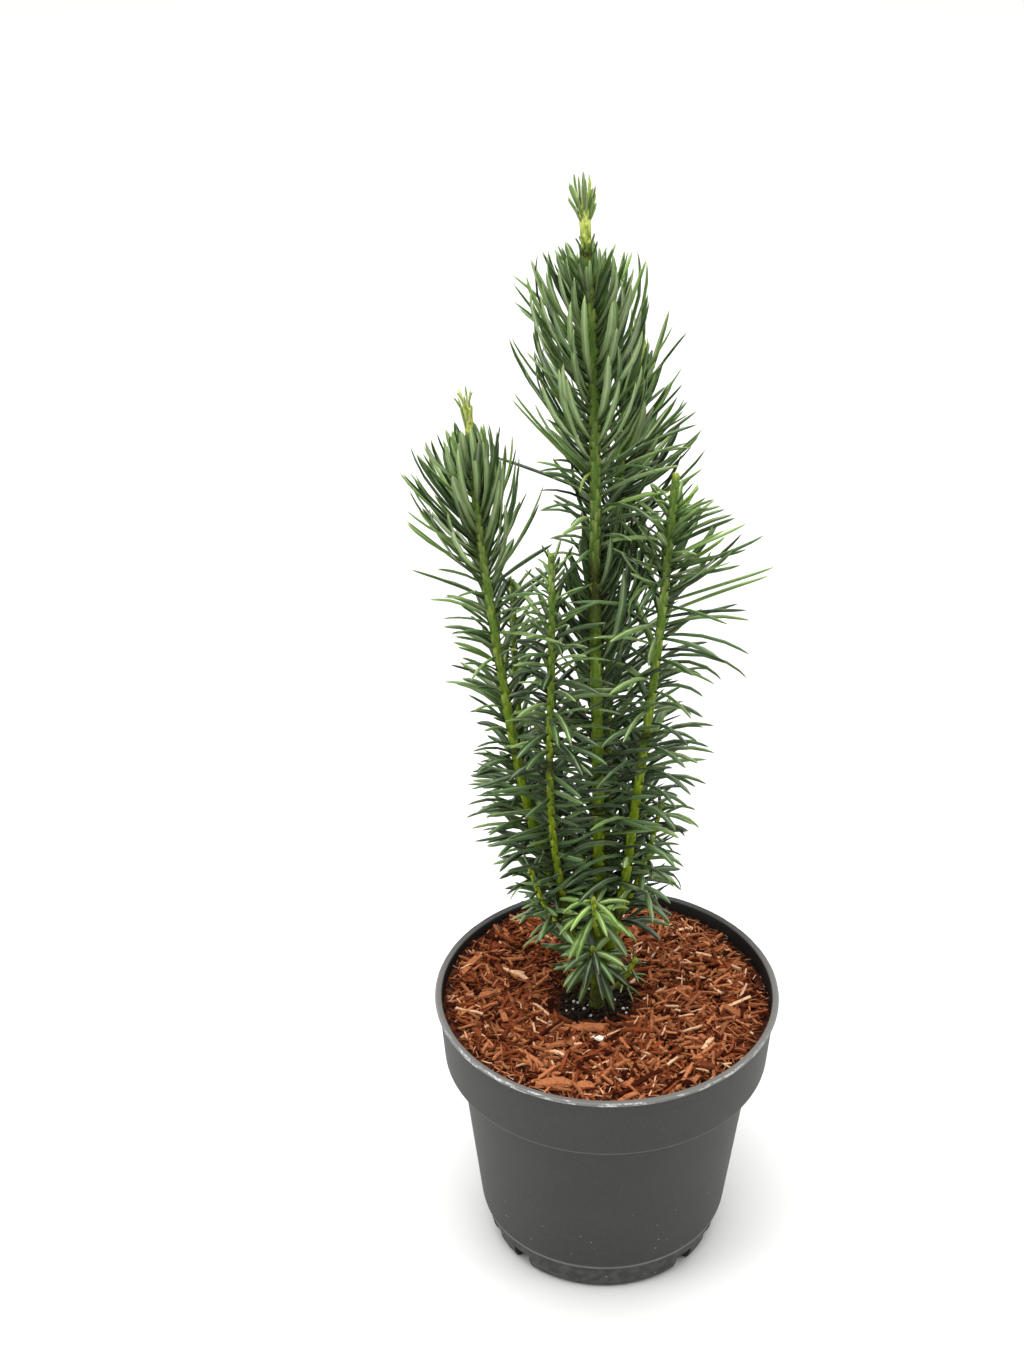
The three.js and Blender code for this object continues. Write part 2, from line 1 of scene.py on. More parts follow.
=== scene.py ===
"""Looks of a potted fastigiata Japanese plum yew: its pot, bark mulch, stems and leaves.

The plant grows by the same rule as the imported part: six stems and seven short shoots run through a
few points each, and leaves wind up them by the golden angle. Tables are in millimetres, and every
mesh is in metres.
"""

import json
import math
from itertools import accumulate

import bpy
import numpy as np
from bpy.props import FloatProperty, FloatVectorProperty, IntProperty, PointerProperty
from mathutils import Matrix, Vector, noise

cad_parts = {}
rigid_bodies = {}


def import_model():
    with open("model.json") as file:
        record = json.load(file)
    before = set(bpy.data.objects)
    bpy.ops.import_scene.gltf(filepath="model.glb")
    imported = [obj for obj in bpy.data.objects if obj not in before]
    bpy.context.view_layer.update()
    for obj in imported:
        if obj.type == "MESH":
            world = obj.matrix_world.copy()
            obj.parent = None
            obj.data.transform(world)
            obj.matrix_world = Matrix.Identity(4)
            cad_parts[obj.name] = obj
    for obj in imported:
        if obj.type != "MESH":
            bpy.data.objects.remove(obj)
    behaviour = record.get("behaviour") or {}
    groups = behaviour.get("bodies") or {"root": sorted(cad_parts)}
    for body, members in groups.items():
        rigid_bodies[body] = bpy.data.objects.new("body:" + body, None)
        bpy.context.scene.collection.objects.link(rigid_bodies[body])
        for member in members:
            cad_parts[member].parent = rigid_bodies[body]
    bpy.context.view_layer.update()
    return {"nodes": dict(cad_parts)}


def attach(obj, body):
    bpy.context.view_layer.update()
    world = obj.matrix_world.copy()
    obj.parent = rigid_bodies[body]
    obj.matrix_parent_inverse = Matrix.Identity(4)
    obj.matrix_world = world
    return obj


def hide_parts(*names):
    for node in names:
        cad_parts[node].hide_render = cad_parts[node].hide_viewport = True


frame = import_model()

bl_info = {
    "name": "Potted fastigiata Japanese plum yew",
    "version": (1, 0, 0),
    "blender": (4, 5, 0),
    "location": "3D Viewport > Sidebar > Plum yew",
    "description": "Builds a young upright plum yew in its nursery pot, piece by piece",
    "category": "Object",
}

MM = 0.001


# Sizes in millimetres

# Corner steps are those of the outside and the inside, and a drain slot has a depth, a width and a
# height.
POT_HEIGHT = 169.2
RIM_RADIUS = 100.0
POT_MIDDLE = (-1.2, 0.0)
FLOOR_THICKNESS = 2.4
BASE_RADIUS = 64.0
POT_OUTLINE = [
    (64.0, 0.0), (66.8, 1.6), (68.6, 6.0), (70.8, 19.3), (72.6, 20.2), (73.4, 23.5),
    (84.9, 124.5), (91.2, 127.4), (93.8, 128.5), (96.9, 166.4), (99.0, 167.0), (99.0, 169.2),
]
POT_INSIDE = [
    (95.2, 169.2), (94.6, 160.0), (91.2, 130.3), (83.1, 126.3), (71.6, 23.5), (67.6, 19.5),
    (62.2, 2.4),
]
LIP_MIDDLE = 97.1
LIP_FOOT = 166.4
COLLAR_EDGE = 129.0
FOOT_EDGE = 21.4
CORNER_RADIUS = 1.1
CORNER_STEPS = (4, 3)
OUT_OF_ROUND = 0.35
NICKED_LIP = 3.0
SHARP_EDGE = 40
DRAIN_SLOT = (9.0, 12.0, 11.0)
DRAIN_SLOT_ANGLES = (24, 46)

# Other steps are rings and points round them, and lumps are heights and how fine they are.
STEM_FOOT = (-7.0, 0.0)
GROUND = 158.0
PLUG_RADIUS = 25.0
PLUG_COVER = 24.0
PLUG_TOP = GROUND - 0.4
PLUG_FLOOR = GROUND - 34.4
PLUG_FOOT_SHARE = 0.88
PLUG_STEPS = (26, 72)
PLUG_LUMPS = ((1.3, 0.22), (0.7, 0.7))
PLUG_BROW = 19.0
PLUG_FALL = 2.2
MULCH_FLOOR = 149.4
MULCH_EDGE = 160.5
MULCH_MIDDLE = 162.5
MULCH_SLOPE = 0.022
MULCH_LUMP = 1.1
MULCH_RADIUS = 94.8
MULCH_FOOT_SHARE = 0.965
MULCH_STEPS = (60, 180)
MULCH_LUMPS = ((0.9, 0.16), (0.6, 0.45))
MULCH_DIP = 5.5
DIP_REACH = 7.0
EDGE_DIP = 1.2
EDGE_REACH = 4.0
BACK_RISE = 3.6
BACK_REACH = 90.0
BARE_EDGE = 1.5
RAGGED_EDGE = 7.0
RAGGED_FINENESS = 0.09
COVER_REACH = 5.0
ROOM_REACH = 13.0
LEAST_ROOM = 0.22
CHIP_LIFT = 2.0
CHIP_THICKNESS = 1.6
SLIVER_STEPS = (5, 4)
CRUMB_STEPS = (4, 7)

# Angles are in degrees, and a spread runs from the least to the most.
GOLDEN_ANGLE = 137.508
TURN_SPREAD = 24
LEAN_SPREAD = 18
CURL_SPREAD = 34
TWIST_SPREAD = 40
LENGTH_SPREAD = 0.2
SWAY_SPREAD = 0.14
WIDTH_LEAST = 0.85
WIDTH_SPREAD = 0.3
SLENDER = 0.155
LEAST_BEND = 0.01
ROOT_FLARE = 1.4
FLARE_HEIGHT = 7.0
SHORTER_TRIES = (1, 0.85, 0.7, 0.55)
TURNED_TRIES = (0, 14, -14)
MULCH_CLEARANCE = 1.2
STEM_CLEARANCE = 1.4
FRONT = 90
PARTING_REACH = 55
STEM_STEP = 0.8
SCAR_PITCH = 0.95
YOUNG_SCAR_PITCH = 1.1
RIDGE_HEAD = 1.2
BARK_ROUGHNESS = 0.08
TIP_SHARE = 0.55
LEAF_ROOT_SHARE = 0.8
STEM_POINTS = 600
STRAY_STEP = 0.618

# Where each row of drawn numbers starts
SPARE_SEED = 4000
SCAR_SEED = 70
BUD_SEED = 900
CHIP_SEED = 5
GRAIN_SEED = 20

# Each stem runs through a few points, from its fork or foot to its tip, and thins from foot to tip.
STEMS = {
    "centre": {
        "path": [(-7, 0, 158), (-7, 0, 200), (-7.6, 0, 260), (-9.4, 0, 335), (-12, 0, 415),
                 (-13, 0, 490), (-15.4, 0, 560), (-20.6, 0, 634)],
        "radius": (3.5, 2.5),
    },
    "inner_left": {
        "path": [(-7.1, 0, 172), (-18, -7, 200), (-26.5, -10, 240), (-33, -12, 288),
                 (-34.8, -12, 340), (-34, -12, 396), (-34.5, -12, 455)],
        "radius": (2.1, 1.6),
    },
    "right": {
        "path": [(-7.1, 0, 178), (1.5, -3, 210), (7.4, -5, 252), (12, -5, 303), (18, -5, 363),
                 (23, -5, 427), (27, -5, 497)],
        "radius": (2.8, 2.0),
    },
    "back": {
        "path": [(-7.1, 0, 180), (-4.8, 14, 214), (-4, 21, 258), (-4, 26, 315), (-4, 29.5, 390),
                 (-2.5, 30, 462), (9, 30, 556)],
        "radius": (2.6, 1.8),
    },
    "left": {
        "path": [(-7.1, 0, 184), (-23, 2, 216), (-39, 3, 262), (-52, 1.5, 320), (-62, 0, 388),
                 (-71, 0, 458), (-76.7, 0, 531)],
        "radius": (3.2, 1.9),
    },
    "back_left": {
        "path": [(-7.2, 0, 198), (-22, 12, 225), (-37, 19, 256), (-48, 22, 300), (-54, 24.5, 356),
                 (-56, 25, 420)],
        "radius": (2.2, 1.5),
    },
}
SHOOTS = {
    "front_low": [(-7, 0, 166), (2, -6, 175), (9, -13, 189), (14, -19, 206)],
    "front_middle": [(-7, 0, 187), (-7.4, -9, 194), (-9, -20, 206), (-10, -29, 221)],
    "front_high": [(-7.1, 0, 207), (-8, -11, 218), (-9, -21, 234), (-10, -29, 254)],
    "right_short": [(4.1, -4, 224), (12, 0, 240), (20, 3, 264), (26, 5, 294)],
    "left_short": [(-21.6, -8.4, 214), (-31, -14, 229), (-39, -17, 246), (-45, -18, 266)],
    "back_short_left": [(-4.7, 14.6, 216), (-12, 25, 229), (-18, 34, 246), (-20, 39, 266)],
    "back_short_right": [(-4.4, 18, 234), (6, 25, 246), (14, 30, 263), (18, 32, 284)],
}
SHOOT_RADIUS = (1.4, 1.1)

# Each mass of leaves clothes one stretch of a stem. Leaf length, lean away from the stem and outward
# curl run from their first value to their second, late in the stretch where late is high. Parting is
# how far leaves that would stand in front of the stem give way to its sides, sided what a leaf that
# points right leans more than one that points left, longer how much longer it is, droop how far a
# leaf hangs, in lengths, and slim its share of the usual width.
MASS_COLUMNS = ("stem", "span", "leaf", "lean", "curl",
                "late", "pitch", "seed", "parting", "sided", "longer", "droop", "slim", "kind")
MASS_ROWS = {
    "centre_tip": ("centre", (626, 634), (10.5, 15.5), (38, 5), (-10, 4),
        0.8, 0.3, 585, 0, -0.9, -0.04, 0, 0.56, "tuft"),
    "centre_top": ("centre", (498, 598), (60.1, 15.8), (54, 24), (-43.3, 0.4),
        2.77, 0.85, 696, 22, -1.7, -0.04, 0, 1, "top"),
    "left_top": ("left", (434, 504), (53.4, 13.9), (45.3, 12.1), (-31.5, -33.4),
        2.42, 0.84, 967, 24, -8.3, 0.04, 0, 1, "top"),
    "back_top": ("back", (468, 538), (52.5, 17.8), (58, 6.5), (-18.2, -4.7),
        1.45, 1.26, 772, 16, 3.8, -0.05, 0, 1, "top"),
    "right_top": ("right", (430, 484), (44, 15), (60, 36), (-8, 24),
        0.9, 1.04, 1004, 12, -2, 0.01, 0, 1, "bright"),
    "left_tip": ("left", (518, 531), (11.3, 12.1), (30.3, -6.2), (-17.5, 37.2),
        0.27, 0.76, 287, 0, -8.3, -0.17, 0, 0.6, "young"),
    "back_tip": ("back", (545, 555), (8.3, 7.1), (28.3, 15.6), (-14.6, -14.5),
        0.5, 0.61, 207, 0, -15.9, -0.24, 0, 0.6, "young"),
    "centre_upper": ("centre", (445, 497), (27, 42), (50, 40), (56, 36),
        1.2, 1.33, 724, 30, 0.5, 0.2, 0, 1, "green"),
    "inner_left_upper": ("inner_left", (330, 454), (31.1, 9.7), (58.3, 33.9), (53.4, 0.8),
        2.24, 1.4, 697, 8, -3, 0.26, 0, 1, "green"),
    "back_left_upper": ("back_left", (318, 419), (19.2, 11.9), (59, 39.9), (14.2, 0.3),
        2.29, 1.45, 905, 0, -1.9, 0.12, 0, 1, "green"),
    "right_middle": ("right", (345, 429), (30, 50), (54, 66), (76, 14),
        1.3, 2.45, 699, 30, 2.7, -0.1, 0, 1, "green"),
    "left_middle": ("left", (332, 433), (23, 34), (38, 46), (56, 20),
        1.3, 1.76, 915, 33, 2, 0.1, 0, 1, "green"),
    "back_middle": ("back", (350, 467), (30, 46.2), (58.6, 47.8), (-5.5, -22.6),
        0.67, 1.35, 1012, 0, 5.6, 0.27, 0, 1, "deep"),
    "centre_middle": ("centre", (375, 444), (60.3, 27.4), (43.7, 44.9), (-38, -36),
        1.17, 1.03, 1013, 68, -4.9, 0.34, 0, 1, "deep"),
    "right_lower": ("right", (216, 344), (33, 35), (52, 50), (74, 64),
        1, 1.85, 348, 46, 2.2, -0.1, 0, 1, "deep"),
    "left_lower": ("left", (212, 331), (29, 26), (62, 38), (50, 52),
        1, 1.5, 880, 46, 0, 0, 0, 1, "deep"),
    "back_lower": ("back", (200, 349), (30.5, 36.2), (52.3, 54.2), (-0.3, 20.5),
        1.89, 1.22, 329, 0, -0.5, 0.37, 0, 1, "deep"),
    "centre_lower": ("centre", (212, 374), (30.6, 41.5), (66, 56), (29.4, -3.1),
        1.11, 1.46, 612, 72, 0, 0.02, 0, 1, "deep"),
    "inner_left_lower": ("inner_left", (192, 329), (17.7, 39.3), (54, 78.6), (-4.1, 1.2),
        1.21, 1.22, 319, 26, 0.5, -0.14, 0, 1, "deep"),
    "back_left_lower": ("back_left", (214, 317), (26.9, 28.2), (68.1, 73), (3.9, 34.7),
        1.1, 1.3, 387, 0, 1.9, 0.02, 0, 1, "deep"),
    "front_high_spray": ("front_high", (232, 254), (25, 18), (80, 50), (76, 56),
        1, 1.25, 1020, 0, 0, 0, 0.22, 1.1, "fresh"),
    "front_middle_spray": ("front_middle", (194, 221), (25, 17), (80, 46), (66, 48),
        1, 1.05, 1021, 0, 0, 0, 0.22, 1.3, "low"),
    "front_low_spray": ("front_low", (180, 204), (13, 9), (80, 44), (22, 10),
        1, 1.5, 1022, 0, 0, 0, 0.3, 1, "low"),
    "right_short_spray": ("right_short", (240, 294), (29.4, 14.8), (79.7, 39.2), (55, 26.3),
        0.93, 1.72, 1023, 0, 2.9, -0.06, 0.1, 1, "deep"),
    "left_short_spray": ("left_short", (224, 266), (23.1, 11.4), (66.4, 50.3), (26.5, -19.9),
        1.23, 1.38, 341, 0, 2.1, 0.38, 0.1, 1, "deep"),
    "back_short_left_spray": ("back_short_left", (226, 266), (40.1, 20.9), (78.5, 43.7), (27.7, -9.3),
        0.99, 1.66, 168, 0, 13.9, 0.23, 0.1, 1, "deep"),
    "back_short_right_spray": ("back_short_right", (242, 284), (31.2, 18.4), (69.8, 28.8), (59, 13.9),
        1.27, 2.1, 133, 0, -1.5, 0.03, 0.1, 1, "deep"),
}
MASSES = {name: dict(zip(MASS_COLUMNS, row)) for name, row in MASS_ROWS.items()}

# Single leaves whose shape shows in the photo, or that stand clear of the masses, by their stem:
# height, turn, length, lean and curl.
LONE_LEAVES = {
    "back": [
        (509, 3, 58, 7, 27), (506, 324, 65, 13, 0), (494, 16, 56, 21, 2), (488, 342, 45, 41, 1),
        (483, 355, 49, 28, -2), (481, 349, 46, 29, 15), (480, 356, 52, 29, 22),
        (473, 3, 54, 51, -14), (470, 342, 41, 70, -34), (461, 349, 49, 70, -17),
        (458, 1, 59, 62, -33),
    ],
    "back_left": [
        (374, 312, 40, 48, 30),
    ],
    "centre": [
        (586, 0, 31, 20, 5), (581, 159, 39, 14, 11), (575, 171, 36, 27, -7),
        (560, 165, 58, 45, -36), (555, 188, 64, 59, -74), (554, 211, 45, 59, 1),
        (554, 334, 56, 36, -9), (552, 1, 60, 15, -1), (551, 192, 61, 19, 36),
        (548, 340, 66, 50, -57), (544, 190, 62, 34, 2), (543, 338, 66, 50, -48),
        (538, 187, 61, 18, 37), (529, 348, 61, 37, -22), (520, 194, 64, 50, -49),
        (520, 245, 60, 79, -14), (517, 345, 46, 40, 11), (514, 201, 66, 64, -47),
        (509, 193, 57, 35, -13), (506, 186, 29, 36, 26), (505, 190, 60, 35, -15),
        (495, 185, 58, 48, -15), (494, 191, 22, 30, 76), (494, 348, 56, 47, 38),
        (493, 179, 59, 44, -6), (489, 186, 28, 39, -5), (487, 352, 53, 35, 66),
        (486, 179, 34, 29, 59), (485, 200, 57, 73, 8), (483, 213, 28, 71, -30),
        (472, 228, 29, 85, 6), (466, 207, 38, 32, -31), (408, 220, 49, 66, 3),
        (347, 335, 50, 78, 22),
    ],
    "inner_left": [
        (412, 225, 35, 48, 14),
    ],
    "left": [
        (492, 126, 49, 69, -50), (464, 180, 57, 49, -39), (463, 354, 54, 39, -33),
        (460, 188, 52, 27, -4), (456, 175, 53, 39, -11), (456, 231, 57, 36, 10),
        (454, 176, 56, 39, -7), (453, 208, 35, 42, -6), (449, 10, 60, 41, -35),
        (442, 315, 38, 58, -17), (440, 180, 59, 47, -32), (438, 6, 51, 28, 4),
        (437, 247, 38, 71, 6), (435, 186, 50, 46, -5), (434, 358, 50, 45, -14),
        (425, 178, 41, 55, 9), (421, 293, 20, 56, 36), (411, 187, 34, 34, 61),
        (407, 204, 19, 42, 24), (406, 313, 46, 59, 39), (404, 32, 42, 73, 34),
        (402, 182, 16, 25, 20), (397, 188, 24, 34, 75), (386, 182, 22, 48, 22),
        (373, 168, 30, 42, 23), (365, 233, 39, 79, 9), (361, 194, 34, 40, 57),
        (361, 307, 45, 62, 16), (354, 215, 34, 39, 65), (350, 197, 22, 42, 78),
        (349, 175, 27, 27, 26), (318, 181, 21, 34, 17), (313, 182, 21, 41, 13),
        (308, 207, 31, 50, 66), (301, 183, 31, 41, 52), (297, 169, 27, 17, 86),
        (292, 175, 34, 32, 75), (288, 189, 36, 58, 60), (280, 189, 34, 65, 42),
        (277, 185, 33, 93, -1), (274, 150, 30, 55, 24), (264, 174, 23, 42, 80),
        (264, 184, 29, 48, 46), (251, 178, 19, 66, 39), (247, 184, 29, 79, 70),
    ],
    "right": [
        (476, 3, 18, 50, 4), (473, 9, 24, 32, 40), (470, 354, 26, 41, 45), (465, 3, 30, 36, 40),
        (461, 347, 34, 47, 38), (459, 346, 35, 58, 19), (453, 14, 44, 55, 0),
        (450, 358, 39, 83, -11), (446, 4, 51, 71, -16), (445, 0, 33, 51, -29),
        (441, 5, 37, 75, -4), (441, 123, 26, 88, 41), (433, 0, 32, 58, -37), (432, 1, 50, 50, -13),
        (427, 8, 59, 61, 3), (420, 0, 57, 57, 13), (415, 295, 45, 45, 63), (413, 351, 47, 66, 44),
        (407, 359, 49, 75, 52), (405, 327, 27, 60, 12), (393, 249, 46, 47, 73),
        (393, 347, 56, 72, 71), (389, 0, 38, 57, 89), (383, 2, 25, 42, 86), (375, 0, 28, 55, 86),
        (343, 344, 39, 49, 66), (337, 350, 36, 56, 67), (335, 291, 43, 72, 2),
        (330, 6, 40, 37, 74), (324, 334, 26, 50, 33), (324, 352, 35, 61, 37), (314, 4, 38, 40, 83),
        (303, 351, 23, 37, 86), (259, 11, 31, 25, 86), (255, 334, 47, 75, 90),
    ],
    "right_short": [
        (290, 4, 21, 31, 86), (288, 8, 25, 54, 86), (283, 14, 18, 60, 86), (247, 334, 27, 68, 62),
    ],
}

# Leaves and scales that catch the eye in front: stem, height, turn, length, lean, curl and colour.
FRONT_LEAVES = [
    ("right", 437, 166, 30, 74, 130, "green"), ("right", 413, 164, 34, 74, 130, "green"),
    ("right", 408, 112, 21, 79, 112, "green"), ("right", 385, 150, 19, 80, 90, "green"),
    ("centre", 497, 128, 15, 62, 120, "young"), ("centre", 470, 88, 12, 26, 24, "young"),
    ("centre", 537, 122, 62, 40, -42, "green"), ("centre", 545, 106, 54, 32, -32, "green"),
    ("centre", 548, 48, 60, 38, -26, "green"), ("centre", 545, 150, 66, 58, -56, "green"),
    ("centre", 512, 64, 48, 40, -24, "green"), ("inner_left", 360, 70, 18, 96, 70, "green"),
    ("left", 390, 130, 22, 74, 50, "green"), ("right", 268, 100, 26, 60, 20, "green"),
    ("centre", 600, 62, 13, 24, -16, "deep"), ("centre", 597, 118, 15, 24, -20, "deep"),
    ("centre", 593, 84, 17, 22, -16, "green"), ("centre", 586, 100, 22, 24, -18, "green"),
    ("centre", 609, 0, 8, 34, -20, "deep"), ("centre", 610, 137, 8, 30, -20, "deep"),
    ("centre", 611, 275, 7, 34, -20, "deep"), ("centre", 612, 52, 7, 30, -20, "deep"),
    ("centre", 613, 190, 6, 34, -10, "deep"), ("centre", 613, 100, 6, 34, -10, "deep"),
    ("centre", 614, 327, 6, 34, -10, "deep"), ("centre", 614, 230, 5, 40, -10, "deep"),
]

# How a mass of one kind shares its leaves out among the leaf colours.
KIND_SHARES = {
    "tuft": {"green": 0.3, "fresh": 0.5, "young": 0.2},
    "young": {"young": 0.7, "fresh": 0.3},
    "top": {"green": 0.74, "deep": 0.26},
    "green": {"green": 0.54, "deep": 0.42, "fresh": 0.04},
    "deep": {"deep": 0.8, "green": 0.2},
    # A bright mass has fewer deep leaves than a top one, as painted light where its leaves face the
    # light.
    "bright": {"green": 0.82, "deep": 0.14, "fresh": 0.04},
    "low": {"deep": 0.7, "green": 0.3},
    "fresh": {"fresh": 0.9, "green": 0.1},
    "lone": {"green": 0.62, "deep": 0.38},
}

# Stretches where old bud scales ring a stem and its bark is brown: height and half length.
GROWTH_RINGS = {
    "centre": [(611, 2.2), (432, 14), (296, 3), (165, 12)],
    "right": [(345, 4), (288, 3), (226, 5)],
    "left": [(331, 3), (262, 4)],
    "inner_left": [(330, 5), (240, 4)],
    "back": [(350, 4), (467, 4)],
    "back_left": [(318, 4)],
}

# Height from which a stem is this year's bare pale growth.
NEW_GROWTH = {"centre": 614, "left": 512, "back": 544}


# Colours and settings

def linear(code):
    """The linear colour, with alpha, of an sRGB hex value."""
    values = [int(code[i:i + 2], 16) / 255 for i in (1, 3, 5)]
    return [v / 12.92 if v <= 0.04045 else ((v + 0.055) / 1.055) ** 2.4 for v in values] + [1.0]


def colour(name, code, description):
    return FloatVectorProperty(
        name=name, description=description, default=linear(code), size=4, subtype="COLOR",
        min=0, max=1)


class PlumYewPotSettings(bpy.types.PropertyGroup):
    sides: IntProperty(
        name="Sides", description="Steps round the pot and its lip", default=192, min=24)
    plastic: colour("Plastic", "#252524", "Moulded dark grey plastic of the pot")
    # The pale plastic colour serves both a fine dusting and painted light: the lit front of the lip
    # and a painted highlight line along the collar edge.
    rubbed_and_lit: colour("Rubbed plastic", "#5c5955", "Plastic rubbed pale along the lip and edges")
    # Strength of the painted white glints along the outer edge of the lip in front.
    lip_glint: FloatProperty(
        name="Wear", description="How far the lip and edges are rubbed", default=0.6,
        min=0, max=1, subtype="FACTOR")


class PlumYewMulchSettings(bpy.types.PropertyGroup):
    fibres: IntProperty(
        name="Fibres", description="Thin bark fibres in the whole pot", default=3600, min=0)
    splinters: IntProperty(
        name="Splinters", description="Straight splinters of bark in the pot", default=2100, min=0)
    chips: IntProperty(
        name="Chips", description="Broad chips of bark in the whole pot", default=330, min=0)
    seed: IntProperty(name="Seed", description="Which way the bark happens to fall", default=7)
    dark: colour("Dark bark", "#351206", "Wet and shaded bark fibres")
    red: colour("Red bark", "#6c361d", "Most of the bark fibres")
    orange: colour("Orange bark", "#985e3c", "Dry outer bark fibres")
    pale: colour("Pale wood", "#c99f7c", "Slivers of pale wood among the bark")


class PlumYewPlantSettings(bpy.types.PropertyGroup):
    leaf_width: FloatProperty(
        name="Leaf width", description="Width of a full grown leaf", default=4.0 * MM,
        min=0.001, unit="LENGTH")
    leaf_thickness: FloatProperty(
        name="Leaf thickness", description="Thickness of a leaf beside its midrib",
        default=0.85 * MM, min=0.0002, unit="LENGTH")
    stem_sides: IntProperty(
        name="Stem sides", description="Steps round each stem", default=30, min=8)
    ridge: FloatProperty(
        name="Ridge height", description="How far leaf bases stand out along the stems",
        default=0.36 * MM, min=0, unit="LENGTH")


class PlumYewStageSettings(bpy.types.PropertyGroup):
    floor: colour("Floor", "#dededc", "Plain pale floor under the pot")
    daylight: FloatProperty(
        name="Daylight", description="Strength of the even light from all round", default=0.36,
        min=0)
    ceiling: FloatProperty(
        name="Ceiling", description="Power of the great soft light over the whole floor",
        default=300.0, min=0, unit="POWER")
    softbox: FloatProperty(
        name="Softbox", description="Power of the nearer light over the plant", default=17.0,
        min=0, unit="POWER")


# Nodes and materials

def feed(node, inputs):
    """Links or sets a node's inputs."""
    for socket, value in inputs.items():
        target = node.inputs[socket]
        if isinstance(value, bpy.types.NodeSocket):
            node.id_data.links.new(value, target)
        else:
            target.default_value = value
    return node


def add(tree, kind, inputs=None, **settings):
    """Adds a node with its settings and inputs."""
    node = tree.nodes.new(kind)
    for name, value in settings.items():
        setattr(node, name, value)
    return feed(node, inputs or {})


def blank_material(name):
    """A new material with only its shader and output; also that shader and the place."""
    material = bpy.data.materials.new(name)
    material.use_nodes = True
    tree = material.node_tree
    tree.nodes.clear()
    shader = add(tree, "ShaderNodeBsdfPrincipled")
    add(tree, "ShaderNodeOutputMaterial", {"Surface": shader.outputs["BSDF"]})
    return material, shader, add(tree, "ShaderNodeTexCoord").outputs["Object"]


# The functions below add their nodes to the tree of the socket that they are given first.

def carried(place, name):
    """A value that the mesh carries at each of its points."""
    return add(place.id_data, "ShaderNodeAttribute", attribute_name=name).outputs["Fac"]


def axes(place):
    """A place's X, Y and Z."""
    return add(place.id_data, "ShaderNodeSeparateXYZ", {"Vector": place}).outputs


def ramp(value, low, high, first=0.0, last=1.0):
    """Runs from first, where a value is low, to last, where it is high."""
    node = add(value.id_data, "ShaderNodeMapRange", {
        "Value": value, "From Min": low, "From Max": high, "To Min": first, "To Max": last})
    return node.outputs["Result"]


def calculated(operation, first, second=0.0):
    """One sum with a value, or with two."""
    node = add(first.id_data, "ShaderNodeMath", {0: first, 1: second}, operation=operation)
    return node.outputs[0]


def times(first, *others):
    """The product of some values."""
    for other in others:
        first = calculated("MULTIPLY", first, other)
    return first


def near(value, middle, reach, most):
    """Runs up to most where a value is at middle millimetres, and to 0 at reach from it."""
    off = calculated("ABSOLUTE", calculated("SUBTRACT", value, middle * MM))
    return ramp(off, reach * MM, 0, 0, most)


def blend(factor, first, second):
    """Mixes two colours by a factor."""
    inputs = {0: factor, 6: first, 7: second}
    node = add(factor.id_data, "ShaderNodeMix", inputs, data_type="RGBA", clamp_factor=True)
    return node.outputs[2]


def spots(place, size, detail=2.0, stretch=None):
    """Noise whose features are about size millimetres across."""
    tree = place.id_data
    if stretch is not None:
        place = add(tree, "ShaderNodeMapping", {"Vector": place, "Scale": stretch}).outputs[0]
    inputs = {"Vector": place, "Scale": 1 / (size * MM), "Detail": detail}
    return add(tree, "ShaderNodeTexNoise", inputs).outputs["Fac"]


def grain(place, size, detail, depth):
    """The relief of spots of one size, depth millimetres deep."""
    inputs = {"Height": spots(place, size, detail), "Distance": depth * MM}
    return add(place.id_data, "ShaderNodeBump", inputs).outputs["Normal"]


def shade(tone, factor):
    """A colour made lighter or darker."""
    return [min(1, value * factor) for value in tone[:3]] + [1.0]


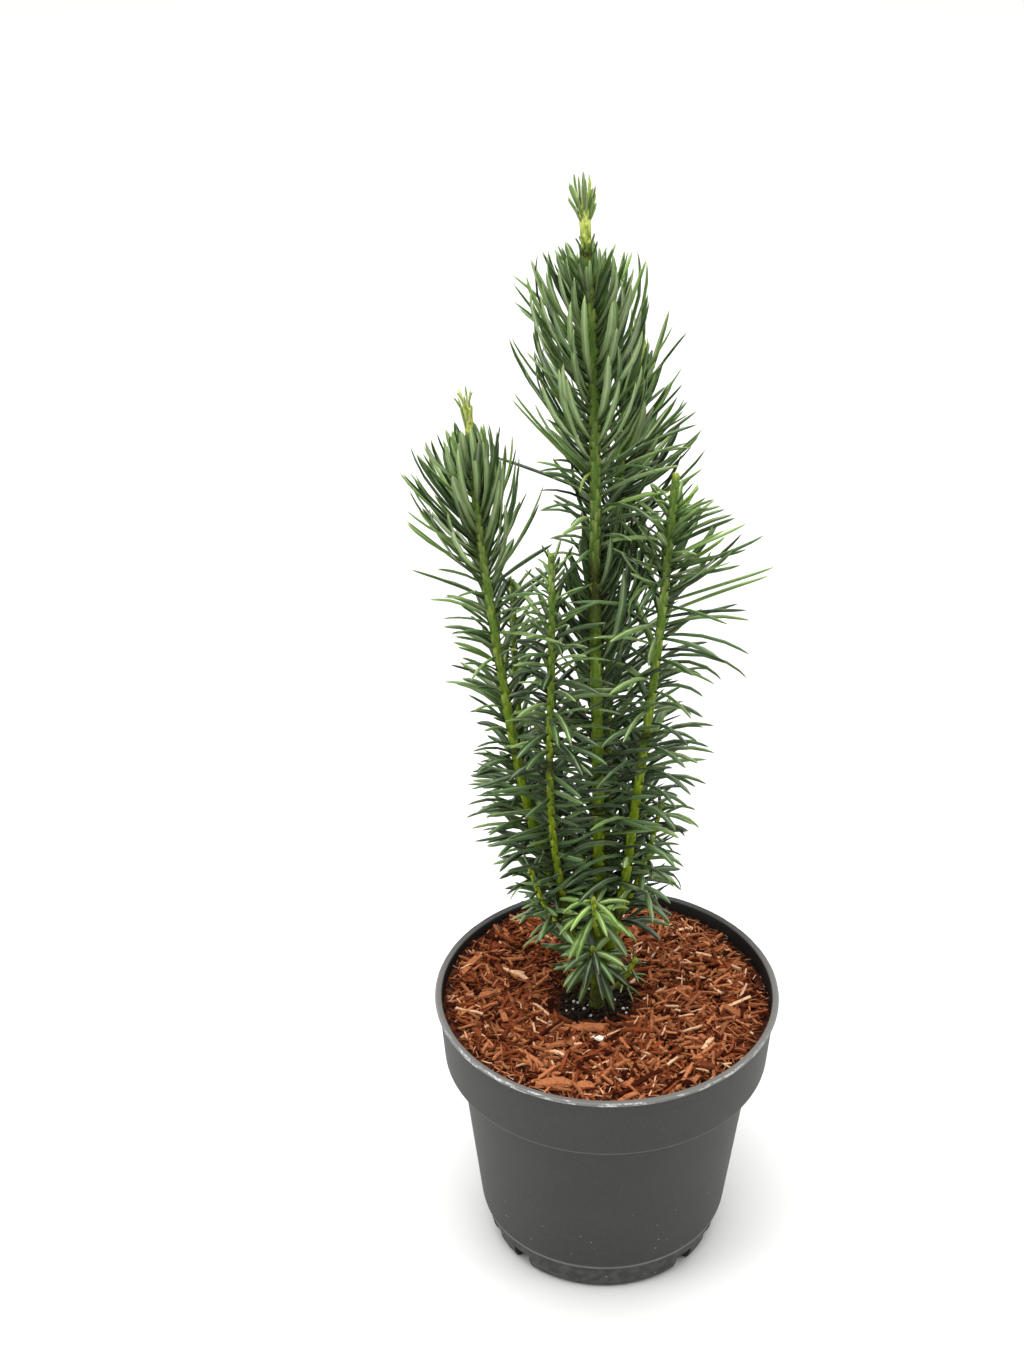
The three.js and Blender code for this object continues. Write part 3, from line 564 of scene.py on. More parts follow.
def polypropylene(settings):
    """Moulded polypropylene: matt charcoal with a fine grain and a pale dusting, painted lighter on
    the lip's front, with painted highlights along its edges and painted shade on its inner wall.
    """
    material, shader, place = blank_material("moulded_polypropylene")
    plastic, rubbed_and_lit = settings.plastic, settings.rubbed_and_lit
    side, depth, height = axes(place)
    aside = calculated("ADD", side, -POT_MIDDLE[0] * MM)
    across = add(place.id_data, "ShaderNodeCombineXYZ", {"X": aside, "Y": depth}).outputs[0]
    radius = add(place.id_data, "ShaderNodeVectorMath", {0: across}, operation="LENGTH")
    radius = radius.outputs["Value"]
    # Slow changes of tone from the mould, a fine dusting, and faint level scratches
    cloud = ramp(spots(place, 38, 4.0), 0.35, 0.7)
    tone = blend(cloud, shade(plastic, 0.92), shade(plastic, 1.1))
    tone = blend(ramp(spots(place, 1.4, 5.0), 0.5, 0.75, 0, 0.12), tone, rubbed_and_lit)
    scratch = ramp(spots(place, 16, 4.0, (1, 1, 14)), 0.64, 0.72)
    tone = blend(times(scratch, ramp(height, 110 * MM, 20 * MM)), tone, shade(plastic, 2.0))
    # The lip is paler at the front and sides as painted light, and darker at the back as painted
    # shade, with painted white glints along its outer edge in front
    ahead = ramp(depth, 70 * MM, 10 * MM)
    lip = times(ramp(height, LIP_FOOT * MM, (LIP_FOOT + 0.8) * MM),
                ramp(radius, 94.0 * MM, 95.4 * MM))
    tone = blend(times(lip, ahead), tone, rubbed_and_lit)
    # A pale grey band and white dashes along the lip's outer edge in front are painted glints.
    outer = times(ramp(radius, 97.4 * MM, 98.4 * MM), lip)
    tone = blend(times(outer, ahead, 0.18), tone, linear("#a9adae"))
    glint_dashes = times(ramp(spots(place, 8.0, 3.0, (1, 1, 4)), 0.5, 0.58),
                  ramp(spots(place, 1.1, 2.0), 0.34, 0.54))
    glint_marks = times(glint_dashes, times(outer, ramp(depth, -30 * MM, -70 * MM)), settings.lip_glint)
    tone = blend(glint_marks, tone, linear("#eceeee"))
    # The collar edge and the foot edge each carry a painted highlight line, and the foot is dusty
    # below its edge
    tone = blend(near(height, COLLAR_EDGE, 1.1, 0.5), tone, rubbed_and_lit)
    tone = blend(near(height, FOOT_EDGE, 1.6, 0.6), tone, linear("#8a8a88"))
    dust = times(ramp(height, 21 * MM, 18 * MM), ramp(spots(place, 5, 5), 0.38, 0.62))
    tone = blend(dust, tone, shade(plastic, 2.8))
    # Inside, above the mulch, the wall is painted nearly black as shade
    inner_shade = times(ramp(height, 168.8 * MM, 168.0 * MM), ramp(radius, 95.8 * MM, 95.4 * MM),
                 ramp(height, (GROUND - 0.5) * MM, (GROUND + 0.5) * MM))
    tone = blend(inner_shade, tone, linear("#0e0d0c"))
    # Dried splashes of compost and lime: white specks under a millimetre, mostly low on the wall
    cells = add(place.id_data, "ShaderNodeTexVoronoi", {"Vector": place, "Scale": 1 / (6.5 * MM)})
    specks = times(ramp(cells.outputs["Distance"], 0.075, 0.05), ramp(height, 90 * MM, 10 * MM))
    feed(shader, {
        "Base Color": blend(specks, tone, linear("#a9aaa8")),
        "Roughness": ramp(spots(place, 0.7, 2.0), 0, 1, 0.52, 0.7),
        "IOR": 1.49, "Normal": grain(place, 0.9, 3.0, 0.12)})
    return material


def crumbly(name, dark, light, size, depth, roughness=0.95):
    """Peat and soil: matt dark crumbs of one size, paler where they are dry."""
    material, shader, place = blank_material(name)
    clods = ramp(spots(place, size * 2.5, 4.0), 0.42, 0.66)
    feed(shader, {
        "Base Color": blend(clods, dark, light), "Roughness": roughness,
        "Specular IOR Level": 0.15, "Normal": grain(place, size, 4.0, depth)})
    return material


def shredded_bark(name, tone, contrast):
    """Shredded conifer bark: dry and matt, each splinter a shade of its own with a stringy grain."""
    material, shader, place = blank_material(name)
    own = carried(place, "tint")
    base = blend(own, shade(tone, 1 - contrast), shade(tone, 1 + contrast))
    fleck = ramp(spots(place, 1.6, 4.0), 0.45, 0.75)
    feed(shader, {
        "Base Color": blend(fleck, base, shade(tone, 0.5)), "Roughness": 0.9,
        "Specular IOR Level": 0.05, "Normal": grain(place, 0.8, 4.0, 0.35)})
    return material


def waxy_leaf(name, dark, light, tip, roughness):
    """Waxy living leaf: glossy, a shade of its own for each leaf, darker at its foot as painted
    shade, with thin paler margins that are partly painted edge highlights, and a yellower tip."""
    material, shader, place = blank_material(name)
    reach, aside = carried(place, "reach"), carried(place, "aside")
    base = blend(carried(place, "tint"), dark, light)
    base = blend(ramp(spots(place, 6.0, 2.0), 0.45, 0.8, 0, 0.55), base, light)
    # Each leaf is darker towards its foot, as painted shade near the stem.
    base = blend(ramp(reach, 0.3, 0.0, 0, 0.55), base, shade(dark, 0.5))
    # Thin paler margins: partly the leaf's own edge, partly painted edge highlights.
    base = blend(ramp(aside, 0.8, 0.95, 0, 0.22), base, shade(light, 1.5))
    gloss = spots(place, 1.5, 2.0)
    feed(shader, {
        "Base Color": blend(ramp(reach, 0.93, 1.05, 0, 0.8), base, tip),
        "Roughness": ramp(gloss, 0, 1, roughness - 0.07, roughness + 0.1),
        "IOR": 1.45, "Specular IOR Level": 0.58, "Normal": grain(place, 0.9, 2.0, 0.05)})
    return material


def ridged_bark():
    """Green young bark: leaf bases run down it as bright ridges over darker grooves, the crests
    partly painted highlight and the grooves partly painted shade, and old bud scales turn short
    stretches of it brown."""
    material, shader, place = blank_material("ridged_young_bark")
    youth = carried(place, "youth")
    upper = ramp(axes(place)["Z"], 300 * MM, 440 * MM)
    groove = blend(upper, linear("#6d8816"), linear("#5a7832"))
    groove = blend(youth, groove, linear("#6f8427"))
    crest = blend(upper, linear("#c8d13c"), linear("#adbf6a"))
    patches = ramp(spots(place, 9.0, 4.0), 0.4, 0.62, 0, 0.75)
    crest = blend(patches, crest, linear("#6b8a36"))
    crest = blend(youth, crest, linear("#ccd573"))
    # Crests lighter and grooves darker: partly the bark's own tones, partly painted highlight and
    # painted shade.
    base = blend(ramp(carried(place, "ridge"), 0.05, 0.85), groove, crest)
    specks = ramp(spots(place, 1.3, 2.0), 0.58, 0.68, 0, 0.6)
    base = blend(specks, base, linear("#3a4a12"))
    brown = blend(ramp(spots(place, 1.4, 4.0), 0.35, 0.65),
                  linear("#2b3014"), linear("#59602c"))
    feed(shader, {
        "Base Color": blend(carried(place, "ring"), base, brown), "Roughness": 0.5,
        "Specular IOR Level": 0.1, "Normal": grain(place, 0.7, 3.0, 0.12)})
    return material


def pale_floor(tone):
    """Matt painted board, plain enough to leave the plant alone in view."""
    material, shader, place = blank_material("matt_painted_board")
    base = blend(spots(place, 400), shade(tone, 0.985), tone)
    feed(shader, {"Base Color": base, "Roughness": 0.9})
    return material


# Meshes

def new_object(name, vertices, faces, materials, slots=None, attributes=None, smooth=True):
    """A mesh object at the origin from arrays, with a material for each face and point values."""
    mesh = bpy.data.meshes.new(name)
    mesh.from_pydata(np.asarray(vertices).tolist(), [], [list(map(int, f)) for f in faces])
    for material in materials:
        mesh.materials.append(material)
    if slots is not None:
        mesh.polygons.foreach_set("material_index", np.asarray(slots, dtype=np.int32))
    for key, values in (attributes or {}).items():
        layer = mesh.attributes.new(key, "FLOAT", "POINT")
        layer.data.foreach_set("value", np.asarray(values, dtype=np.float32))
    mesh.polygons.foreach_set("use_smooth", [smooth] * len(mesh.polygons))
    mesh.update()
    thing = bpy.data.objects.new(name, mesh)
    bpy.context.scene.collection.objects.link(thing)
    return thing


def placed(piece, slot, *nodes):
    """The piece rides on the plant's one body and stands for these nodes."""
    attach(piece, "root")
    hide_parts(*nodes)


def unit(vectors):
    return vectors / np.linalg.norm(vectors, axis=-1, keepdims=True)


def turns_round(sides):
    """The angles of so many even steps round a circle."""
    return np.linspace(0, 2 * math.pi, sides, endpoint=False)


def tube_faces(rings, sides, capped=True):
    """The faces of a tube whose vertices come ring by ring, closed at both ends."""
    faces = []
    for ring in range(rings - 1):
        for side in range(sides):
            a = ring * sides + side
            b = ring * sides + (side + 1) % sides
            faces.append((a, b, b + sides, a + sides))
    if capped:
        faces.append(tuple(reversed(range(sides))))
        faces.append(tuple(range((rings - 1) * sides, rings * sides)))
    return faces


def turned_over(faces):
    """Faces that look the other way."""
    return [tuple(reversed(face)) for face in faces]


def rounded(outline, steps):
    """An outline whose corners are rounded off, in so many steps."""
    points = [np.array(p, dtype=float) for p in outline]
    result = [points[0]]
    for before, corner, after in zip(points, points[1:], points[2:]):
        back, on = before - corner, after - corner
        reach = min(CORNER_RADIUS, np.linalg.norm(back) / 2.2, np.linalg.norm(on) / 2.2)
        start = corner + unit(back) * reach
        end = corner + unit(on) * reach
        for step in range(steps + 1):
            t = step / steps
            result.append((1 - t) ** 2 * start + 2 * t * (1 - t) * corner + t ** 2 * end)
    result.append(points[-1])
    return result


def revolved(profile, sides, change):
    """Vertices and faces of a profile turned about the vertical axis; its ends lie on the axis."""
    turns = turns_round(sides)
    radii = np.array([p[0] for p in profile[1:-1]])[:, None] + 0 * turns
    heights = np.array([p[1] for p in profile[1:-1]])[:, None] + 0 * turns
    radii, heights = change(radii, heights, turns)
    rings = np.stack([radii * np.cos(turns), radii * np.sin(turns), heights], axis=-1)
    vertices = np.vstack([rings.reshape(-1, 3), [(0, 0, profile[0][1]), (0, 0, profile[-1][1])]])
    faces = tube_faces(len(profile) - 2, sides, capped=False)
    foot, head = len(vertices) - 2, len(vertices) - 1
    last = (len(profile) - 3) * sides
    for side in range(sides):
        on = (side + 1) % sides
        faces.append((foot, on, side))
        faces.append((head, last + side, last + on))
    return vertices * MM, faces


def disc_rings(radius, rings, sides):
    """Radii and places of a disc's points, ring by ring from its middle."""
    turns = turns_round(sides)
    radii = radius * np.linspace(0, 1, rings + 1)[1:, None] + 0 * turns
    return radii, radii * np.cos(turns), radii * np.sin(turns)


def lumps(x, y, level, octaves):
    """The heights of rough lumps over a disc; each octave is a height and how fine it is."""
    heights = np.zeros(x.shape)
    for index in np.ndindex(x.shape):
        place = Vector((x[index], y[index], level))
        heights[index] = sum(high * noise.noise(place * fine) for high, fine in octaves)
    return heights


def mound(x, y, z, middle, foot_share, floor):
    """Vertices and faces of a lumpy disc whose wall narrows down to a flat floor."""
    rings, sides = x.shape
    top = np.stack([x, y, z], axis=-1).reshape(-1, 3)
    wall = top[-sides:] * (foot_share, foot_share, 0) + (0, 0, floor)
    vertices = np.vstack([top, wall, [(0, 0, middle), (0, 0, floor)]])
    faces = turned_over(tube_faces(rings, sides, capped=False))
    edge, foot = (rings - 1) * sides, rings * sides
    for side in range(sides):
        on = (side + 1) % sides
        faces.append((len(vertices) - 2, side, on))
        faces.append((edge + side, foot + side, foot + on, edge + on))
        faces.append((len(vertices) - 1, foot + on, foot + side))
    return vertices, faces


def baked(piece):
    """Works the piece's modifiers into a plain mesh."""
    mesh = bpy.data.meshes.new_from_object(
        piece.evaluated_get(bpy.context.evaluated_depsgraph_get()))
    piece.modifiers.clear()
    piece.data = mesh


# The pot

def worn_round(radii, heights, turns):
    """The upper part of the pot is a little out of round, and its lip is nicked."""
    high = np.clip((heights - 120) / 48, 0, 1)
    radii = radii + high * OUT_OF_ROUND * np.sin(2 * turns + 0.6) - OUT_OF_ROUND * high
    on_lip = (heights > POT_HEIGHT - NICKED_LIP) & (radii > 96.4)
    nicks = np.zeros_like(radii)
    for row, column in zip(*np.nonzero(on_lip)):
        turn = turns[column]
        place = Vector((14 * math.cos(turn), 14 * math.sin(turn), heights[row, column] * 0.5))
        nicks[row, column] = noise.noise(place) * 0.22 + noise.noise(place * 3) * 0.12
    nicks = np.minimum(nicks, 0)
    return radii + nicks * 0.7, heights + nicks


def drain_cutter():
    """Boxes that cut the drain slots out of the pot's foot, as one mesh."""
    depth, width, height = DRAIN_SLOT
    corners = np.array([(x, y, z) for x in (-1, 1) for y in (-1, 1) for z in (-1, 1)], dtype=float)
    corners *= (depth, width / 2, height)
    corners[:, 0] += BASE_RADIUS
    box = [(0, 1, 3, 2), (4, 6, 7, 5), (0, 4, 5, 1), (2, 3, 7, 6), (0, 2, 6, 4), (1, 5, 7, 3)]
    vertices, faces = [], []
    for side in (0, 180):
        for angle in (a * sign for a in DRAIN_SLOT_ANGLES for sign in (1, -1)):
            turn = math.radians(side + angle)
            x = corners[:, 0] * math.cos(turn) - corners[:, 1] * math.sin(turn)
            y = corners[:, 0] * math.sin(turn) + corners[:, 1] * math.cos(turn)
            faces += [tuple(i + len(vertices) for i in face) for face in box]
            vertices += list(zip(x, y, corners[:, 2]))
    return new_object("drain_cutter", np.array(vertices) * MM, faces, [], smooth=False)


class YEW_OT_pot(bpy.types.Operator):
    """Turns the pot, with its lip, collar, stepped foot and drain slots"""

    bl_idname = "yew.pot"
    bl_label = "Pot"

    def execute(self, context):
        settings = context.scene.yew_pot
        outside = rounded([(0, 0), *POT_OUTLINE, POT_INSIDE[0]], CORNER_STEPS[0])
        inside = rounded([POT_OUTLINE[-1], *POT_INSIDE, (0, FLOOR_THICKNESS)], CORNER_STEPS[1])
        # Both rounded outlines meet on the lip's flat top
        profile = outside[:-1] + [(LIP_MIDDLE, POT_HEIGHT)] + inside[1:]
        vertices, faces = revolved(profile, settings.sides, worn_round)
        vertices = vertices + np.array((*POT_MIDDLE, 0)) * MM
        pot = new_object("nursery_pot", vertices, faces, [polypropylene(settings)])
        cutter = drain_cutter()
        cut = pot.modifiers.new("drain_slots", "BOOLEAN")
        cut.operation = "DIFFERENCE"
        cut.solver = "EXACT"
        cut.object = cutter
        context.view_layer.update()
        baked(pot)
        bpy.data.objects.remove(cutter)
        pot.data.set_sharp_from_angle(angle=math.radians(SHARP_EDGE))
        placed(pot, "pot_plastic", "pot")
        return {"FINISHED"}


# What fills the pot

def mulch_height(x, y):
    """Height of the mulch, in millimetres, above one place in the pot."""
    share = np.hypot(x, y) / RIM_RADIUS
    waves = np.sin(x * 0.17 + 1) * np.cos(y * 0.19) + np.sin((x + y) * 0.09)
    dome = MULCH_MIDDLE + (MULCH_EDGE - MULCH_MIDDLE) * share ** 2
    return dome - MULCH_SLOPE * x + MULCH_LUMP * 0.5 * waves


def sliver(length, width, thickness, bend, blunt, rng):
    """Points of one bent, flat piece of bark about the origin, ring by ring, with torn ends."""
    last = SLIVER_STEPS[0] - 1
    points = []
    for i in range(last + 1):
        t = i / last - 0.5
        narrow = blunt + (1 - blunt) * math.sin(math.pi * (0.1 + 0.8 * i / last))
        half = width / 2 * narrow * rng.uniform(0.92, 1.08)
        sway = bend * (t * t - 0.1) * length + rng.uniform(-0.08, 0.08) * width
        rise = 0.035 * length * math.sin(5 * t + bend * 40)
        for side, lift in ((-1, -0.5), (1, -0.5), (0.8, 0.5), (-0.8, 0.5)):
            torn = t * length + rng.uniform(-0.3, 0.3) * width * (abs(t) > 0.4)
            points.append((torn, sway + side * half, rise + lift * thickness))
    return np.array(points)


def crumb(name, size, seed):
    """One rough crumb of about two dozen faces."""
    rng = np.random.default_rng(seed)
    rings, sides = CRUMB_STEPS
    points = []
    for level in np.linspace(-0.8, 0.8, rings):
        radius = math.sqrt(1 - level * level)
        for turn in turns_round(sides):
            reach = radius * (0.8 + 0.4 * rng.random()) * size / 2
            points.append((reach * math.cos(turn), reach * math.sin(turn), level * size / 2))
    return new_object(name, np.array(points) * MM, tube_faces(rings, sides), [])


def shape_collection(name, shapes):
    """Puts a few shapes aside in a collection, to be scattered."""
    group = bpy.data.collections.new(name)
    for shape in shapes:
        bpy.context.scene.collection.objects.unlink(shape)
        group.objects.link(shape)
    return group


def crumb_shapes(name, number, size, seed):
    """A few rough crumbs of one size, set aside."""
    return shape_collection(name, [crumb(f"{name}_{i}", size, seed + i) for i in range(number)])


def remove_shapes(groups):
    """Removes shapes that were set aside, once they are scattered."""
    for group in groups:
        for shape in list(group.objects):
            bpy.data.objects.remove(shape)


def drawn(tree, low, high, seed):
    """A number drawn for each copy."""
    return add(tree, "FunctionNodeRandomValue", {2: low, 3: high, "Seed": seed},
               data_type="FLOAT").outputs[1]


def named(tree, name):
    """A value that the surface carries at each of its points."""
    return add(tree, "GeometryNodeInputNamedAttribute", {"Name": name},
               data_type="FLOAT").outputs[0]


def scatter_tree():
    """Lays shapes at random over a surface where its cover is 1: how many, which way and how large.

    Where the surface's room is under 1 they are smaller by as much.
    """
    tree = bpy.data.node_groups.new("scatter", "GeometryNodeTree")
    sockets = {
        "Geometry": "Geometry", "Shapes": "Collection", "Density": "Float", "Tilt": "Float",
        "Smallest": "Float", "Largest": "Float", "Lowest": "Float", "Highest": "Float",
        "Seed": "Int", "Material": "Material",
    }
    for name, kind in sockets.items():
        tree.interface.new_socket(name, in_out="INPUT", socket_type=f"NodeSocket{kind}")
    tree.interface.new_socket("Geometry", in_out="OUTPUT", socket_type="NodeSocketGeometry")
    given = add(tree, "NodeGroupInput").outputs
    seed, tilt = given["Seed"], given["Tilt"]
    density = times(given["Density"], named(tree, "cover"))
    points = add(tree, "GeometryNodeDistributePointsOnFaces",
                 {"Mesh": given["Geometry"], "Density": density, "Seed": seed})
    back = times(tilt, -1.0)
    least = add(tree, "ShaderNodeCombineXYZ", {"X": back, "Y": back})
    most = add(tree, "ShaderNodeCombineXYZ", {"X": tilt, "Y": tilt, "Z": 2 * math.pi})
    turn = add(tree, "FunctionNodeRandomValue",
               {0: least.outputs[0], 1: most.outputs[0], "Seed": seed}, data_type="FLOAT_VECTOR")
    size = drawn(tree, given["Smallest"], given["Largest"], seed)
    shapes = add(tree, "GeometryNodeCollectionInfo",
                 {"Collection": given["Shapes"], "Separate Children": True, "Reset Children": True})
    copies = add(tree, "GeometryNodeInstanceOnPoints", {
        "Points": points.outputs["Points"], "Instance": shapes.outputs[0], "Pick Instance": True,
        "Rotation": turn.outputs[0], "Scale": times(size, named(tree, "room"))})
    rise = drawn(tree, given["Lowest"], given["Highest"], seed)
    lift = add(tree, "ShaderNodeCombineXYZ", {"Z": rise})
    lifted = add(tree, "GeometryNodeTranslateInstances", {
        "Instances": copies.outputs[0], "Translation": lift.outputs[0], "Local Space": False})
    tinted = add(tree, "GeometryNodeStoreNamedAttribute", {
        "Geometry": lifted.outputs[0], "Name": "tint", "Value": drawn(tree, 0.0, 1.0, 11)},
        data_type="FLOAT", domain="INSTANCE")
    whole = add(tree, "GeometryNodeRealizeInstances", {"Geometry": tinted.outputs[0]})
    finished = add(tree, "GeometryNodeSetMaterial",
                   {"Geometry": whole.outputs[0], "Material": given["Material"]})
    add(tree, "NodeGroupOutput", {"Geometry": finished.outputs[0]})
    return tree


def scattered(name, surface, tree, shapes, density, material, seed, tilt, size, lift):
    """A piece made of copies of some shapes, so many to a square metre of a surface."""
    piece = surface.copy()
    piece.data = surface.data.copy()
    piece.name = name
    bpy.context.scene.collection.objects.link(piece)
    modifier = piece.modifiers.new("scatter", "NODES")
    modifier.node_group = tree
    values = {
        "Shapes": shapes, "Density": density, "Tilt": math.radians(tilt),
        "Smallest": size[0], "Largest": size[1], "Lowest": lift[0] * MM, "Highest": lift[1] * MM,
        "Seed": seed, "Material": material,
    }
    for item in tree.interface.items_tree:
        if item.in_out == "INPUT" and item.name in values:
            modifier[item.identifier] = values[item.name]
    bpy.context.view_layer.update()
    baked(piece)
    if not len(piece.data.polygons):
        raise RuntimeError(f"nothing was scattered for {name}")
    return piece


# Chips that catch the eye on top of the mulch: middle, length, width, turn and which bark they are.
LOOSE_CHIPS = [
    ((-13, -29), 24, 6, 2, "orange"), ((14, -29), 22, 3.5, -4, "red"),
    ((-6, -38), 5.5, 3.6, -30, "white"), ((-17, -44), 4, 1.6, 20, "pale"),
    ((-29, -50), 12, 2.6, -30, "pale"), ((-29, -75), 18, 7, 0, "orange"),
    ((-13, -76), 8, 7, 4, "orange"), ((2, -64), 25, 3, 40, "orange"),
    ((18, -73), 30, 3.2, 42, "dark"), ((-55, 17), 18, 2.6, -34, "pale"),
    ((-81, 26), 20, 5, 60, "orange"), ((-39, -14), 25, 1.6, -52, "pale"),
    ((-35, -34), 32, 2, 44, "dark"), ((-43, -55), 20, 2.6, -48, "orange"),
    ((45, 70), 12, 4, -30, "pale"), ((40, 8), 18, 5, 12, "orange"), ((56, -38), 12, 3, 60, "pale"),
    ((-70, -2), 14, 5, 20, "orange"), ((-60, -20), 12, 4, -70, "orange"),
    ((-66, 44), 14, 2.4, 80, "pale"), ((70, 30), 13, 3, 20, "orange"),
]


def loose_chips(barks):
    """The chips that catch the eye, as one mesh."""
    rng = np.random.default_rng(CHIP_SEED)
    names = list(barks)
    points, faces, slots, tints = [], [], [], []
    for (x, y), length, width, turn, bark in LOOSE_CHIPS:
        thickness = min(CHIP_THICKNESS, 0.3 * width + 0.3)
        shape = sliver(length, width, thickness, 0.02, 0.8, rng)
        angle = math.radians(turn)
        level = shape[:, :2] @ np.array([[math.cos(angle), math.sin(angle)],
                                         [-math.sin(angle), math.cos(angle)]]) + (x, y)
        base = len(points) * len(shape)
        height = mulch_height(x, y) + CHIP_LIFT + shape[:, 2:]
        points.append(np.hstack([level, height]))
        chip = tube_faces(*SLIVER_STEPS)
        faces += [tuple(v + base for v in face) for face in chip]
        slots += [names.index(bark)] * len(chip)
        tints += [rng.uniform(0.55, 1)] * len(shape)
    return new_object("loose_chips", np.vstack(points) * MM, faces, barks.values(), slots,
                      {"tint": tints}, smooth=False)


def bed_object(material):
    """The mulch's own lumpy surface, closed below, that the splinters lie on."""
    radii, x, y = disc_rings(MULCH_RADIUS, *MULCH_STEPS)
    from_plug = np.hypot(x - STEM_FOOT[0], y - STEM_FOOT[1])
    z = mulch_height(x, y) + lumps(x, y, 0, MULCH_LUMPS)
    z -= MULCH_DIP * np.clip((PLUG_RADIUS + 2 - from_plug) / DIP_REACH, 0, 1)
    z += BACK_RISE * np.clip(y / BACK_REACH, 0, 1) ** 1.5
    z -= EDGE_DIP * np.clip((radii - MULCH_RADIUS + EDGE_REACH) / EDGE_REACH, 0, 1) ** 2
    places = zip(x.ravel() * RAGGED_FINENESS, y.ravel() * RAGGED_FINENESS)
    ragged = np.array([noise.noise(Vector((*place, 5))) for place in places]).reshape(x.shape)
    cover = np.clip((from_plug - PLUG_RADIUS - RAGGED_EDGE * ragged) / COVER_REACH, 0, 1)
    cover *= radii < MULCH_RADIUS - BARE_EDGE
    room = np.clip((MULCH_RADIUS - radii) / ROOM_REACH, LEAST_ROOM, 1)
    vertices, faces = mound(x, y, z, mulch_height(0, 0) - MULCH_DIP, MULCH_FOOT_SHARE, MULCH_FLOOR)
    vertices[:, :2] += POT_MIDDLE
    below = np.zeros(len(vertices) - x.size)
    return new_object("mulch_bed", vertices * MM, faces, [material], attributes={
        "cover": np.concatenate([cover.ravel(), below]),
        "room": np.concatenate([room.ravel(), below + 1])})


class YEW_OT_potting_soil(bpy.types.Operator):
    """Gives the potting soil under the mulch its crumbly finish"""

    bl_idname = "yew.potting_soil"
    bl_label = "Potting soil"

    def execute(self, context):
        soil = frame["nodes"]["potting_soil"]
        finish = crumbly("moist_potting_soil", linear("#1c1410"), linear("#3a2b20"), 1.5, 0.8)
        soil.data.materials.clear()
        soil.data.materials.append(finish)
        return {"FINISHED"}


# What lies scattered on the peat: number, seed, smallest and largest size, lowest and highest lift.
PEAT_CRUMBS = (900, 3, (0.35, 1.25), (-0.2, 0.9))
PERLITE_GRAINS = (30, 5, (0.2, 1.25), (0.2, 1.1))


class YEW_OT_root_plug(bpy.types.Operator):
    """Builds the dark peat round the stem's foot, with its crumbs and white perlite"""

    bl_idname = "yew.root_plug"
    bl_label = "Peat plug and perlite"

    def execute(self, context):
        peat = crumbly("moist_black_peat", linear("#0b0604"), linear("#3a281a"), 0.9, 0.5, 0.75)
        white = crumbly("expanded_perlite", linear("#b9b6ae"), linear("#f1efe9"), 0.6, 0.2, 0.8)
        radii, x, y = disc_rings(PLUG_RADIUS, *PLUG_STEPS)
        z = PLUG_TOP + lumps(x, y, 3, PLUG_LUMPS)
        z -= PLUG_FALL * np.clip((radii - PLUG_BROW) / (PLUG_RADIUS - PLUG_BROW), 0, 1)
        vertices, faces = mound(x, y, z, PLUG_TOP, PLUG_FOOT_SHARE, PLUG_FLOOR)
        vertices = vertices + (*STEM_FOOT, 0)
        cover = np.concatenate([(radii < PLUG_COVER).ravel(), np.zeros(len(vertices) - x.size)])
        plug = new_object("peat_plug", vertices * MM, faces, [peat], attributes={
            "cover": cover, "room": np.ones(len(vertices))})
        tree = scatter_tree()
        area = math.pi * (PLUG_COVER * MM) ** 2
        crumbs = crumb_shapes("crumbs", 4, 1.9, 0)
        grains = crumb_shapes("grains", 3, 1.7, GRAIN_SEED)
        pieces = [plug]
        for name, shapes, material, (number, seed, size, lift) in (
                ("peat_crumbs", crumbs, peat, PEAT_CRUMBS),
                ("perlite_grains", grains, white, PERLITE_GRAINS)):
            pieces.append(scattered(name, plug, tree, shapes, number / area, material, seed,
                                    180, size, lift))
        for piece in pieces:
            placed(piece, "peat", "root_plug")
        remove_shapes((crumbs, grains))
        return {"FINISHED"}


# The shapes of scattered bark: how many, and the length, width and bend of the first one with the
# step to the next one's; then their thickness, how blunt they are and their first seed.
BARK_SHAPES = {
    "fibres": (6, (6, 2.0), (0.6, 0.08), (0.08, -0.03), 0.4, 0.6, 0),
    "splinters": (6, (8, 2.4), (1.2, 0.16), (0.03, -0.012), 0.9, 0.85, 20),
    "chips": (5, (8, 1.8), (3.0, 0.35), (0.01, 0), 1.5, 0.94, 40),
}

# Layers of scattered bark, lowest first: bark, shape, share of that shape's number, seed, tilt in
# degrees, smallest and largest size, lowest and highest lift.
BARK_LAYERS = [
    ("dark", "fibres", 0.28, 1, 12, (0.6, 1.1), (0.0, 0.8)),
    ("red", "fibres", 0.45, 2, 14, (0.6, 1.2), (0.2, 1.3)),
    ("orange", "fibres", 0.26, 3, 16, (0.6, 1.1), (0.5, 1.6)),
    ("pale", "fibres", 0.022, 4, 16, (0.8, 1.2), (1.0, 1.8)),
    ("dark", "splinters", 0.25, 5, 14, (0.7, 1.3), (0.1, 1.0)),
    ("red", "splinters", 0.41, 6, 15, (0.7, 1.3), (0.3, 1.5)),
    ("orange", "splinters", 0.28, 8, 16, (0.7, 1.3), (0.7, 1.9)),
    ("pale", "splinters", 0.06, 9, 16, (0.6, 1.1), (1.1, 2.0)),
    ("dark", "chips", 0.22, 10, 12, (0.5, 1.0), (0.1, 1.0)),
    ("red", "chips", 0.4, 11, 14, (0.5, 1.1), (0.4, 1.4)),
    ("orange", "chips", 0.3, 12, 14, (0.5, 1.0), (0.7, 1.7)),
    ("pale", "chips", 0.05, 13, 14, (0.4, 0.8), (1.0, 1.9)),
]


